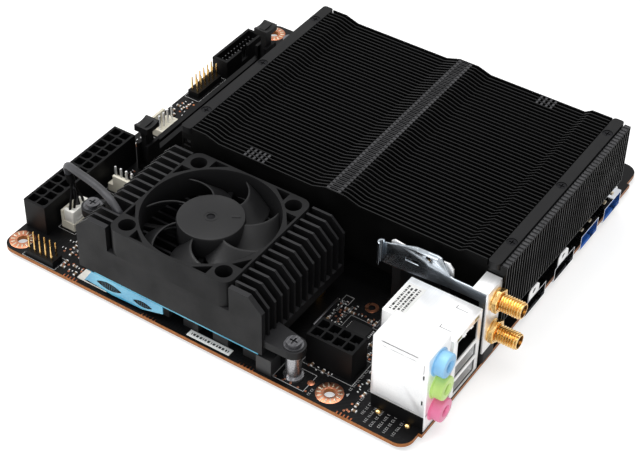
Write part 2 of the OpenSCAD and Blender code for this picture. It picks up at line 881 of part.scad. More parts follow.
module underside_screw(p, reach) {
    translate([p[0], p[1], -head_t])
        difference() {
            union() {
                cylinder(r = head_r, h = head_t);
                cylinder(r = screw_r, h = reach + head_t);
            }
            for (a = [0, 90]) rotate([0, 0, a]) translate([-1.5, -0.3, -1]) cube([3, 0.6, 1.8]);
        }
}

// ---- memory socket ----

tower_xs = [slot_x - tower_l, slot_x + module_l];
pivot_xs = [slot_x - tower_l / 2, slot_x + module_l + tower_l / 2];

module memory_socket() {
    color("#1a1a1c")
        difference() {
            union() {
                box(slot_x - 0.5, slot_y, top, module_l + 1, slot_w, slot_h);
                for (x = tower_xs) box(x, slot_y, top, tower_l, slot_w, tower_h);
            }
            box(slot_x, slot_y + slot_w / 2 - 0.6, top + 2, module_l, 1.2, slot_h);
            for (x = tower_xs)
                box(x - 1, slot_y + slot_w / 2 - latch_w / 2 - 0.3, top + 1.5, tower_l + 1.5,
                    latch_w + 0.6, tower_h);
            box(slot_x + module_l - 0.5, slot_y + slot_w / 2 - latch_w / 2 - 0.3, top + 1.5, tower_l + 2,
                latch_w + 0.6, tower_h);
            for (x = pivot_xs)
                translate([x, slot_y - 1, latch_pivot_z]) rotate([-90, 0, 0])
                    cylinder(r = latch_pin_r, h = slot_w + 2);
        }
}

module memory_contacts() {
    color("#d0b070")
        for (i = [0:33])
            box(slot_x + 1.6 + i * 2, slot_y + slot_w / 2 - 0.6, top + 2, 0.5, 0.25, 3.4);
}

// Latch with a saddle-shaped grip; mirrored for the right end
module latch_shape() {
    difference() {
        union() {
            translate([0, slot_w / 2 + latch_w / 2, 0])
                rotate([90, 0, 0])
                    linear_extrude(latch_w)
                        polygon([[-1.6, -1.4], [1.6, -1.4], [2.6, 2], [1.4, latch_h - 7],
                            [2.6, latch_h - 4.6],
                            [2.6, latch_h - 4], [-3, latch_h - 4], [-2.4, latch_h - 9]]);
            translate([-latch_cap[0] / 2, slot_w / 2 - latch_cap[1] / 2, latch_h - 4 - latch_cap[2]])
                difference() {
                    cube(latch_cap);
                    translate([latch_cap[0] / 2, -1, latch_cap[2] + 7.4])
                        rotate([-90, 0, 0]) cylinder(r = 8, h = latch_cap[1] + 2, $fn = 96);
                }
        }
        translate([0, -1, 0]) rotate([-90, 0, 0]) cylinder(r = latch_pin_r + latch_pin_gap, h = slot_w + 2);
    }
}

module memory_latch_left() {
    color("#202022") translate([pivot_xs[0], slot_y, latch_pivot_z]) latch_shape();
}

module memory_latch_right() {
    color("#202022") translate([pivot_xs[1], slot_y, latch_pivot_z]) mirror([1, 0, 0]) latch_shape();
}

module latch_pins() {
    color("#a0a0a4")
        for (x = pivot_xs)
            translate([x, slot_y, latch_pivot_z]) rotate([-90, 0, 0])
                cylinder(r = latch_pin_r, h = slot_w);
}

// ---- wireless parts ----

module card_socket() {
    color("#1b1b1d")
        difference() {
            box(card_x - 1.8, card_y - 0.5, top, 4.4, card_w + 1, 5);
            box(card_x - 0.05, card_y - 0.05, top + 1, card_t + 0.1, card_w + 0.1, 6);
        }
}

module wireless_card() {
    color("#2c6a44") {
        box(card_x, card_y, top + 1, card_t, card_w, card_h + 0.6);
        box(card_x - 1.6, card_y + 3, top + 10, 1.6, 15, 14);
    }
}

module wireless_bracket() {
    b = card_y;
    z0 = top + 23.2;
    z1 = top + card_h;
    color("#9fa6ac")
        difference() {
            union() {
                upright(bracket_x, sheet_t, [[b + 24, z0], [b + 24, z1 + 2.4], [b + 17.4, z1 + 4.5],
                    [b + 11, z1 + 6.4], [b + 2, z1 + 6.8], [b - 2, z1 + 0.4], [bracket_y0 + sheet_t, z1],
                    [bracket_y0 + sheet_t, top + foot_h], [bracket_y0 + 3, top + foot_h],
                    [bracket_y0 + 4, z0 + 2], [b - 2, z0 + 2]]);
                box(plate_x, bracket_y0, top + foot_h, plate_w, sheet_t, z1 + 2 - top - foot_h);
                box(plate_x, bracket_y0, z1 + 2 - sheet_t, plate_w, 6, sheet_t);
                box(bracket_x + 0.3, b + 3, z1 + 1.2 - sheet_t, card_x - bracket_x - 0.3, 6, sheet_t);
            }
            for (z = antenna_zs)
                translate([antenna_x, bracket_y0 - 1, z]) rotate([-90, 0, 0])
                    cylinder(r = antenna_seat_r + 0.03, h = 4);
        }
}

module bracket_foot() {
    color("#131315")
        difference() {
            linear_extrude(top + foot_h) round_plate(plate_x, bracket_y0, plate_w, 9, 1.5);
            translate([0, 0, -1]) linear_extrude(top + 1) square(400, center = true);
        }
}

// Threaded antenna connectors through the bracket, with a centre bore and pin
module antenna_connectors() {
    color("#c99a4c")
        for (z = antenna_zs)
            translate([antenna_x, bracket_y0, z]) rotate([90, 0, 0])
                difference() {
                    union() {
                        translate([0, 0, -sheet_t - 5]) cylinder(r = antenna_r - 0.4, h = 5.5);
                        translate([0, 0, -sheet_t]) cylinder(r = antenna_seat_r, h = sheet_t + nut_t);
                        cylinder(r = antenna_r, h = antenna_l);
                    }
                    difference() {
                        translate([0, 0, 2]) cylinder(r = 2.3, h = antenna_l);
                        cylinder(r = 0.6, h = antenna_l - 1);
                    }
                }
}

module antenna_nuts() {
    color("#d0a050")
        for (z = antenna_zs)
            translate([antenna_x, bracket_y0, z]) rotate([90, 0, 0])
                difference() {
                    union() {
                        rotate([0, 0, 30]) cylinder(r = 4.6, h = nut_t, $fn = 6);
                        cylinder(r = 4.2, h = 0.5);
                    }
                    translate([0, 0, -1]) cylinder(r = antenna_seat_r + 0.03, h = nut_t + 2);
                }
}

// ---- network and USB stack ----

lan_cx = lan_x + lan_w / 2;
usb_mouth = [13.1, 5.1];
usb_mouth_zs = [top + 1.4, top + 8.8];
rj_mouth = [12.4, 8.2];
rj_z = top + 16.4;

module lan_mouths(grow) {
    for (z = usb_mouth_zs)
        box(lan_cx - usb_mouth[0] / 2 - grow, face_y - 1, z - grow, usb_mouth[0] + 2 * grow, 20,
            usb_mouth[1] + 2 * grow);
    box(lan_cx - rj_mouth[0] / 2 - grow, face_y - 1, rj_z - grow, rj_mouth[0] + 2 * grow, 16,
        rj_mouth[1] + 2 * grow);
}

module lan_usb_shell() {
    color("#d4d5d8")
        difference() {
            box(lan_x, face_y, top, lan_w, lan_d, lan_h);
            box(lan_x + shell_t, face_y + shell_t, top - 1, lan_w - 2 * shell_t, lan_d - 2 * shell_t,
                lan_h + 1 - shell_t);
            intersection() {
                lan_mouths(0.3);
                box(lan_x, face_y - 1, top, lan_w, 3, lan_h);
            }
        }
}

// Black inside body, with a tongue in each USB mouth
module lan_usb_insert() {
    color("#19191b") {
        difference() {
            box(lan_x + shell_t, face_y + shell_t, top, lan_w - 2 * shell_t, lan_d - 2 * shell_t,
                lan_h - shell_t);
            lan_mouths(0);
        }
        for (z = usb_mouth_zs)
            box(lan_cx - 5.5, face_y + 2, z + 2.7, 11, 18, 1.8);
    }
}

// ---- audio stack ----

jack_zs = [for (i = [0:2]) jack_z0 + i * jack_pitch];

module audio_shell() {
    color("#d8d8da")
        difference() {
            union() {
                box(audio_x, face_y, top + audio_base_h, audio_w, audio_d, audio_h - audio_base_h);
                box(audio_x, face_y, top, audio_w, 2.6, audio_base_h + 1);
            }
            box(audio_x + shell_t, face_y + shell_t, top - 1, audio_w - 2 * shell_t, audio_d - 2 * shell_t,
                audio_h + 1 - shell_t);
            for (z = jack_zs)
                translate([jack_x, face_y - 1, z]) rotate([-90, 0, 0]) cylinder(r = jack_r + 0.05, h = 4);
        }
}

module audio_base() {
    color("#1d1d1f")
        difference() {
            box(audio_x + shell_t, face_y + shell_t, top, audio_w - 2 * shell_t, audio_d - 2 * shell_t,
                audio_h - shell_t);
            box(jack_x - jack_r - 0.05, face_y - 1, jack_z0 - jack_r - 0.05, 2 * jack_r + 0.1, 16,
                2 * jack_pitch + 2 * jack_r + 0.1);
        }
}

module audio_jacks() {
    color("#6aa8e0")
        for (z = jack_zs)
            translate([jack_x, face_y - jack_l, z]) rotate([-90, 0, 0])
                difference() {
                    cylinder(r = jack_r, h = jack_l + 14.9);
                    translate([0, 0, -1]) cylinder(r = jack_bore_r, h = 15);
                }
}

// ---- sockets under the fin stack ----

module port_shell(x, w, h, d) {
    difference() {
        box(x, port_front, top + port_gap, w, d, h);
        box(x + shell_t, port_front - 1, top + port_gap + shell_t, w - 2 * shell_t, d + 1 - shell_t,
            h - 2 * shell_t);
    }
    for (sx = [x, x + w - 0.8]) box(sx, port_front + 5, top, 0.8, 2, port_gap + shell_t);
}

module display_shells() {
    color("#c8c8ca") for (x = display_xs) port_shell(x, display_w, display_h, 12);
}

module port_core(x, w, h, d, tongue) {
    z = top + port_gap + shell_t;
    box(x + shell_t, port_front + d - 4, z, w - 2 * shell_t, 4 - shell_t, h - 2 * shell_t);
    box(x + 1.8, port_front + 1.5, z + (h - 2 * shell_t) / 2 - tongue / 2, w - 3.6, d - 5, tongue);
}

module display_cores() {
    color("#1a1a1c") for (x = display_xs) port_core(x, display_w, display_h, 12, 1.4);
}

module usb_shells() {
    color("#c8c8ca") for (x = usb_xs) port_shell(x, usb_w, usb_h, 17);
}

module usb_cores() {
    color("#2c6cd0") for (x = usb_xs) port_core(x, usb_w, usb_h, 17, 2);
}

module end_bracket() {
    color("#dcdcde") {
        box(usb_xs[1] + usb_w + 0.6, port_front + 2, top, 0.6, 9, usb_h);
        box(usb_xs[1] + usb_w + 0.6, port_front + 2, top, 4, 9, 0.6);
    }
}

// ---- small parts ----

module chip(x, y, w, d, h) {
    box(x, y, top, w, d, h);
}

module board_chips() {
    color("#1b1b1d") {
        chip(xl + 50, yb + 8, 7, 7, 1);
        chip(xl + 30, yb + 36, 9, 9, 1.2);
        chip(xl + 53, yf - 36, 6, 8, 1.4);
        chip(xr - 16, yf - 60, 10, 10, 1.2);
        chip(xr - 14, yf - 36, 5, 6, 1.6);
        chip(xr - 17, yb + 60, 8, 8, 1.1);
        chip(xl + 27.5, yf - 28, 5, 4, 1.2);
    }
}

cap_r = 2.9;
cap_h = 5.8;
cap_points = [[xr - 12, yf - 17], [xr - 12, yf - 25], [xr - 19, yb + 36], [xr - 11, yb + 36],
    [xr - 11, yb + 44], [xl + 43.5, yb + 33.5]];

module capacitors() {
    color("#8c8c90")
        for (p = cap_points) {
            box(p[0] - cap_r - 0.2, p[1] - cap_r - 0.2, top, 2 * cap_r + 0.4, 2 * cap_r + 0.4, 0.8);
            post(p[0], p[1], top + 0.8, cap_r, cap_h - 0.8);
        }
}

board();
mounting_rings();
power_socket_24();
power_pins_24();
power_socket_8();
power_pins_8();
usb_header_shroud();
usb_header_pins();
pin_header_bases();
pin_header_pins();
fan_header_bodies();
fan_header_pins();
fan_plug();
fan_lead();
fan_frame();
fan_rotor();
fan_shaft();
fan_bearing();
fan_stator();
fan_screws();
fan_cooler_body();
arm_posts();
arm_screws();
thermal_pad();
pad_liner();
power_chokes();
companion_chip();
thermal_paste();
main_processor();
fin_stack();
sink_block();
heat_pipes();
flange_bars();
bar_screws();
nut_strips();
spacer_posts();
underside_screws();
memory_socket();
memory_contacts();
memory_latch_left();
memory_latch_right();
latch_pins();
card_socket();
wireless_card();
wireless_bracket();
bracket_foot();
antenna_connectors();
antenna_nuts();
lan_usb_shell();
lan_usb_insert();
audio_shell();
audio_base();
audio_jacks();
display_shells();
display_cores();
usb_shells();
usb_cores();
end_bracket();
board_chips();
capacitors();
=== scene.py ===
import math
import random
import bpy
import bmesh
from mathutils import Matrix, Vector


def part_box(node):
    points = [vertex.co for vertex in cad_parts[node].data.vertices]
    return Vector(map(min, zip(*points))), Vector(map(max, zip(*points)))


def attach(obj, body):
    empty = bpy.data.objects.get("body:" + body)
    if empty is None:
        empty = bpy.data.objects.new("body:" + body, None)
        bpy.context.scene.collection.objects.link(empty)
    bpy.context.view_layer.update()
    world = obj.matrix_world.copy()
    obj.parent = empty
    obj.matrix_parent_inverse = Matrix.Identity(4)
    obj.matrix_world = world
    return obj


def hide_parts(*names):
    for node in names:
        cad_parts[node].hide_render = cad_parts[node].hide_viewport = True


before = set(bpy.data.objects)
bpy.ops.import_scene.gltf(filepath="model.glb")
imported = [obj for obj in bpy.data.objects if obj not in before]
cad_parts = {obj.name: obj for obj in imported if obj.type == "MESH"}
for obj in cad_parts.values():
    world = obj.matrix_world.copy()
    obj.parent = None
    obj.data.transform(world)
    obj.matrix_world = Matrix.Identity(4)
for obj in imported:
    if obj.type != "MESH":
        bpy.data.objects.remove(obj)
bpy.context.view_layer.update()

MM = 0.001
scene = bpy.context.scene
scene.view_settings.view_transform = "Standard"


# ---- workshop tools: every piece starts as a primitive and is shaped from there ----

def deselect():
    if bpy.context.object and bpy.context.object.mode != "OBJECT":
        bpy.ops.object.mode_set(mode="OBJECT")
    bpy.ops.object.select_all(action="DESELECT")


def pick(*pieces):
    deselect()
    for p in pieces:
        p.select_set(True)
    bpy.context.view_layer.objects.active = pieces[-1]


def face_out():
    """Turns every face of the mesh in hand outward and puts it down."""
    bpy.ops.mesh.select_all(action="SELECT")
    bpy.ops.mesh.normals_make_consistent(inside=False)
    bpy.ops.object.mode_set(mode="OBJECT")


def settle(piece):
    pick(piece)
    bpy.ops.object.transform_apply(location=True, rotation=True, scale=True)
    return piece


def apply_all(piece):
    pick(piece)
    for m in list(piece.modifiers):
        bpy.ops.object.modifier_apply(modifier=m.name)
    return piece


def smooth_under(piece, degrees):
    """Smooth shading, kept sharp where two faces meet at more than an angle."""
    pick(piece)
    bpy.ops.object.shade_smooth_by_angle(angle=math.radians(degrees))
    return piece


def soften(piece, width, segments=2):
    """Rounds every sharp edge of a piece."""
    m = piece.modifiers.new("Round edges", "BEVEL")
    m.width = width * MM
    m.segments = segments
    m.limit_method = "ANGLE"
    m.angle_limit = math.radians(32)
    m.use_clamp_overlap = True
    return smooth_under(apply_all(piece), 36)


def shift(x, y, z=0):
    return Matrix.Translation((x * MM, y * MM, z * MM))


def turn(degrees, axis="Z"):
    return Matrix.Rotation(math.radians(degrees), 4, axis)


def block(name, low, high, edge=0.2, segments=2):
    deselect()
    centre = [(a + b) / 2 * MM for a, b in zip(low, high)]
    bpy.ops.mesh.primitive_cube_add(size=1, location=centre)
    piece = bpy.context.object
    piece.name = name
    piece.scale = [(b - a) * MM for a, b in zip(low, high)]
    settle(piece)
    return soften(piece, edge, segments) if edge else piece


# How a piece made along Z is turned to lie along each axis
TURNS = {"Z": (0, 0, 0), "Y": (math.radians(-90), 0, 0), "-Y": (math.radians(90), 0, 0),
         "X": (0, math.radians(90), 0), "-Z": (math.radians(180), 0, 0)}


def stand(piece, start, axis):
    """Turns a piece made along Z to another axis and puts its foot at a place."""
    piece.rotation_euler = TURNS[axis]
    piece.location = [c * MM for c in start]
    return settle(piece)


def rod(name, start, radius, length, axis="Z", sides=40):
    """A straight round bar from its start along an axis."""
    deselect()
    bpy.ops.mesh.primitive_cylinder_add(vertices=sides, radius=radius * MM, depth=length * MM,
                                        location=(0, 0, length * MM / 2))
    piece = settle(bpy.context.object)
    piece.name = name
    return stand(piece, start, axis)


def turned(name, profile, start, axis="Z", sides=48):
    """A lathe piece: its half profile as (radius, height) points, spun a full turn."""
    deselect()
    bpy.ops.mesh.primitive_circle_add(vertices=len(profile), radius=1, fill_type="NOTHING")
    piece = bpy.context.object
    piece.name = name
    for v, (r, h) in zip(piece.data.vertices, profile):
        v.co = (r * MM, 0, h * MM)
    bpy.ops.object.mode_set(mode="EDIT")
    bpy.ops.mesh.select_all(action="SELECT")
    bpy.ops.mesh.spin(steps=sides, angle=2 * math.pi, center=(0, 0, 0), axis=(0, 0, 1))
    bpy.ops.mesh.select_all(action="SELECT")
    bpy.ops.mesh.remove_doubles(threshold=0.000004)
    face_out()
    return smooth_under(stand(piece, start, axis), 30)


# How an outline drawn flat is stood in each plane
PLANES = {"XY": Matrix.Identity(4),
          "YZ": Matrix(((0, 0, 1, 0), (1, 0, 0, 0), (0, 1, 0, 0), (0, 0, 0, 1))),
          "XZ": Matrix(((1, 0, 0, 0), (0, 0, -1, 0), (0, 1, 0, 0), (0, 0, 0, 1)))}


def plate(name, outline, thickness, start=(0, 0, 0), face="XY", edge=0.0):
    """A flat sheet cut to an outline in one plane, with its thickness along the third axis."""
    deselect()
    bpy.ops.mesh.primitive_circle_add(vertices=len(outline), radius=1, fill_type="NGON")
    piece = bpy.context.object
    piece.name = name
    for v, (a, b) in zip(piece.data.vertices, outline):
        v.co = (a * MM, b * MM, 0)
    bpy.ops.object.mode_set(mode="EDIT")
    bpy.ops.mesh.select_all(action="SELECT")
    bpy.ops.mesh.extrude_region_move(TRANSFORM_OT_translate={"value": (0, 0, thickness * MM)})
    face_out()
    piece.matrix_world = shift(*start) @ PLANES[face]
    settle(piece)
    return soften(piece, edge, 1) if edge else piece


def cut(piece, *cutters):
    """Takes the cutters' shapes out of a piece."""
    for c in cutters:
        m = piece.modifiers.new("Cut", "BOOLEAN")
        m.operation = "DIFFERENCE"
        m.solver = "EXACT"
        m.object = c
        apply_all(piece)
        bpy.data.objects.remove(c)
    return piece


def weld(name, pieces):
    """Several shapes made one piece."""
    pieces = list(pieces)
    pick(*pieces)
    if len(pieces) > 1:
        bpy.ops.object.join()
    piece = bpy.context.object
    piece.name = name
    return piece


def copy_of(piece, move):
    """A copy of a shape, with its own mesh, moved by a matrix."""
    twin = piece.copy()
    twin.data = piece.data.copy()
    scene.collection.objects.link(twin)
    twin.data.transform(move)
    return twin


def repeat(piece, steps):
    """Copies of a shape, moved by each step in millimetres."""
    return [copy_of(piece, shift(*step)) for step in steps]


def around(piece, x, y, count, first=0.0):
    """Copies of a shape turned about an upright axis."""
    return [copy_of(piece, shift(x, y) @ turn(first + 360 * k / count) @ shift(-x, -y)) for k in range(count)]


def drop(*pieces):
    for p in pieces:
        bpy.data.objects.remove(p)


def line_tube(name, points, radius):
    """A smooth round wire through its points, as a mesh tube."""
    curve = bpy.data.curves.new(name, "CURVE")
    curve.dimensions = "3D"
    spline = curve.splines.new("BEZIER")
    spline.bezier_points.add(len(points) - 1)
    for b, p in zip(spline.bezier_points, points):
        b.co = [c * MM for c in p]
        b.handle_left_type = b.handle_right_type = "AUTO"
    curve.resolution_u = 6
    curve.bevel_depth = radius * MM
    curve.bevel_resolution = 2
    curve.use_fill_caps = True
    piece = bpy.data.objects.new(name, curve)
    scene.collection.objects.link(piece)
    pick(piece)
    bpy.ops.object.convert(target="MESH")
    piece = bpy.context.object
    piece.name = name
    return smooth_under(piece, 50)


# ---- finishes ----

def tone(r, g, b):
    """A colour as it looks, 0 to 255, turned into light values."""
    def f(c):
        c = c / 255
        return c / 12.92 if c <= 0.04045 else ((c + 0.055) / 1.055) ** 2.4
    return (f(r), f(g), f(b), 1)


def feed(tree, pairs):
    """Joins each socket to another node's output, or sets it to a plain value."""
    for socket, value in pairs:
        if isinstance(value, bpy.types.NodeSocket):
            tree.links.new(value, socket)
        else:
            socket.default_value = value


def mix_colour(tree, fac, a, b):
    m = tree.nodes.new("ShaderNodeMix")
    m.data_type = "RGBA"
    feed(tree, ((m.inputs[0], fac), (m.inputs[6], a), (m.inputs[7], b)))
    return m.outputs[2]


def calc(tree, operation, a, b=0.0, c=0.0, clamp=False):
    m = tree.nodes.new("ShaderNodeMath")
    m.operation = operation
    m.use_clamp = clamp
    feed(tree, zip(m.inputs, (a, b, c)))
    return m.outputs[0]


def noise(tree, vector, scale, detail=3.0):
    n = tree.nodes.new("ShaderNodeTexNoise")
    feed(tree, ((n.inputs["Vector"], vector), (n.inputs["Scale"], scale), (n.inputs["Detail"], detail),
                (n.inputs["Roughness"], 0.55)))
    return n.outputs[0]


def between(tree, value, low, high):
    """A mask that rises from 0 at the low value to 1 at the high one."""
    n = tree.nodes.new("ShaderNodeMapRange")
    feed(tree, ((n.inputs["Value"], value), (n.inputs["From Min"], low), (n.inputs["From Max"], high)))
    return n.outputs[0]


def new_skin(name, *extra):
    """A node group with the sockets that both kinds of skin share, and its own ones between them."""
    g = bpy.data.node_groups.new(name, "ShaderNodeTree")
    for label, kind, value in (
            ("Colour", "NodeSocketColor", (0.5, 0.5, 0.5, 1)),
            ("Second Colour", "NodeSocketColor", (0.4, 0.4, 0.4, 1)), *extra,
            ("Roughness", "NodeSocketFloat", 0.5), ("Roughness Spread", "NodeSocketFloat", 0.15),
            ("Relief", "NodeSocketFloat", 0.1)):
        g.interface.new_socket(label, in_out="INPUT", socket_type=kind).default_value = value
    for label, kind in (("Colour", "NodeSocketColor"), ("Roughness", "NodeSocketFloat"),
                        ("Normal", "NodeSocketVector")):
        g.interface.new_socket(label, in_out="OUTPUT", socket_type=kind)
    return g, g.nodes.new("NodeGroupInput").outputs, g.nodes.new("NodeGroupOutput").inputs


def close_skin(g, given, out, mask, height):
    """Colour and roughness that follow a mask, and relief that follows a height."""
    g.links.new(mix_colour(g, mask, given["Colour"], given["Second Colour"]), out["Colour"])
    centred = calc(g, "SUBTRACT", mask, 0.5)
    rough = calc(g, "MULTIPLY_ADD", centred, given["Roughness Spread"], given["Roughness"], clamp=True)
    g.links.new(rough, out["Roughness"])
    bump = g.nodes.new("ShaderNodeBump")
    feed(g, ((bump.inputs["Distance"], 0.0001), (bump.inputs["Strength"], given["Relief"]),
             (bump.inputs["Height"], height)))
    g.links.new(bump.outputs[0], out["Normal"])
    return g


def make_grain():
    """Moulded or anodised skin: slow patches of tone and a fine grain."""
    g, given, out = new_skin("Surface grain", ("Patch Scale", "NodeSocketFloat", 60.0),
                             ("Grain Scale", "NodeSocketFloat", 2500.0))
    place = g.nodes.new("ShaderNodeTexCoord").outputs["Object"]
    patch = noise(g, place, given["Patch Scale"])
    fine = noise(g, place, given["Grain Scale"], 2.0)
    speck = calc(g, "MULTIPLY_ADD", fine, 0.5, -0.25)
    mask = calc(g, "ADD", between(g, patch, 0.35, 0.65), speck, clamp=True)
    return close_skin(g, given, out, mask, fine)


def make_brushed():
    """Rolled or brushed sheet metal: long fine streaks along one axis."""
    g, given, out = new_skin("Brushed streaks", ("Stretch", "NodeSocketVector", (60.0, 3000.0, 3000.0)))
    place = g.nodes.new("ShaderNodeTexCoord").outputs["Object"]
    drawn = g.nodes.new("ShaderNodeVectorMath")
    drawn.operation = "MULTIPLY"
    feed(g, ((drawn.inputs[0], place), (drawn.inputs[1], given["Stretch"])))
    streak = noise(g, drawn.outputs[0], 1.0, 2.0)
    cloud = noise(g, place, 90.0, 2.0)
    blend = calc(g, "ADD", calc(g, "MULTIPLY", streak, 0.6), calc(g, "MULTIPLY", cloud, 0.4), clamp=True)
    return close_skin(g, given, out, between(g, blend, 0.38, 0.62), streak)


def facing(tree):
    """Masks of the faces that look up, and of those that look sideways."""
    split = tree.nodes.new("ShaderNodeSeparateXYZ")
    tree.links.new(tree.nodes.new("ShaderNodeNewGeometry").outputs["True Normal"], split.inputs[0])
    upright = split.outputs["Z"]
    return between(tree, upright, 0.55, 0.9), between(tree, calc(tree, "ABSOLUTE", upright), 0.5, 0.2)


GRAIN = make_grain()
BRUSHED = make_brushed()


def shader(name, metallic, coat=0.0, coat_rough=0.1, specular=0.5):
    m = bpy.data.materials.new(name)
    m.use_nodes = True
    bsdf = m.node_tree.nodes["Principled BSDF"].inputs
    bsdf["Metallic"].default_value = metallic
    bsdf["Coat Weight"].default_value = coat
    bsdf["Coat Roughness"].default_value = coat_rough
    bsdf["Specular IOR Level"].default_value = specular
    return m, m.node_tree, bsdf


def skin(tree, bsdf, group, **values):
    """Puts a skin into a material, and gives its colour back in case it is painted over."""
    n = tree.nodes.new("ShaderNodeGroup")
    n.node_tree = group
    for key, value in values.items():
        n.inputs[key.replace("_", " ")].default_value = value
    for source, target in (("Colour", "Base Color"), ("Roughness", "Roughness"), ("Normal", "Normal")):
        tree.links.new(n.outputs[source], bsdf[target])
    return n.outputs["Colour"]


def grained(name, colour, patch, metallic=0.0, rough=0.5, relief=0.1, grain_scale=2500.0, **more):
    m, tree, bsdf = shader(name, metallic, **more)
    skin(tree, bsdf, GRAIN, Colour=tone(*colour), Second_Colour=tone(*patch), Patch_Scale=60.0,
         Grain_Scale=grain_scale, Roughness=rough, Roughness_Spread=0.15, Relief=relief)
    return m


def sheet_metal(name, colour, streak, rough=0.3, spread=0.2, stretch=(60, 3000, 3000), relief=0.08,
                metallic=1.0):
    m, tree, bsdf = shader(name, metallic)
    skin(tree, bsdf, BRUSHED, Colour=tone(*colour), Second_Colour=tone(*streak), Stretch=stretch,
         Roughness=rough, Roughness_Spread=spread, Relief=relief)
    return m


def lit_top_finish(name, colour, painted_top_highlight, metallic, rough, strength, specular):
    """A dark finish whose upward faces are painted lighter, a painted highlight of the light from above."""
    m, tree, bsdf = shader(name, metallic, specular=specular)
    dark = tone(*colour)
    shade = tuple(c * 0.75 for c in dark[:3]) + (1,)
    base = skin(tree, bsdf, GRAIN, Colour=dark, Second_Colour=shade, Patch_Scale=70.0, Grain_Scale=2600.0,
                Roughness=rough, Roughness_Spread=0.18, Relief=0.12)
    up, _ = facing(tree)
    # painted highlight: faces that look up are mixed towards the lighter top colour
    painted_top_mix = mix_colour(tree, calc(tree, "MULTIPLY", up, strength), base, tone(*painted_top_highlight))
    tree.links.new(painted_top_mix, bsdf["Base Color"])
    return m


def board_finish():
    """Black solder mask with faint tracks under it, and a raw glass-fibre edge."""
    m, tree, bsdf = shader("Solder mask", 0.0, coat=0.04, coat_rough=0.25, specular=0.12)
    place = tree.nodes.new("ShaderNodeTexCoord").outputs["Object"]
    mask = skin(tree, bsdf, GRAIN, Colour=tone(9, 9, 10), Second_Colour=tone(6, 6, 7), Patch_Scale=35.0,
                Grain_Scale=1800.0, Roughness=0.42, Roughness_Spread=0.16, Relief=0.06)
    tracks = 0.0
    for slant, width, scale in ((0.0, 0.06, 420.0), (0.785, 0.05, 330.0), (1.571, 0.06, 380.0)):
        slanted = tree.nodes.new("ShaderNodeMapping")
        feed(tree, ((slanted.inputs["Rotation"], (0, 0, slant)), (slanted.inputs["Vector"], place)))
        brick = tree.nodes.new("ShaderNodeTexBrick")
        for label, value in (("Vector", slanted.outputs[0]), ("Scale", scale), ("Mortar Size", width),
                             ("Brick Width", 6.0), ("Row Height", 0.5)):
            feed(tree, ((brick.inputs[label], value),))
        gate = calc(tree, "GREATER_THAN", noise(tree, slanted.outputs[0], 55.0, 0.0), 0.55)
        tracks = calc(tree, "MAXIMUM", tracks, calc(tree, "MULTIPLY", brick.outputs["Fac"], gate))
    traced = mix_colour(tree, calc(tree, "MULTIPLY", tracks, 0.5), mask, tone(26, 26, 27))
    weave = noise(tree, place, 900.0, 2.0)
    raw = mix_colour(tree, weave, tone(120, 70, 34), tone(196, 128, 72))
    _, side = facing(tree)
    tree.links.new(mix_colour(tree, side, traced, raw), bsdf["Base Color"])
    return m


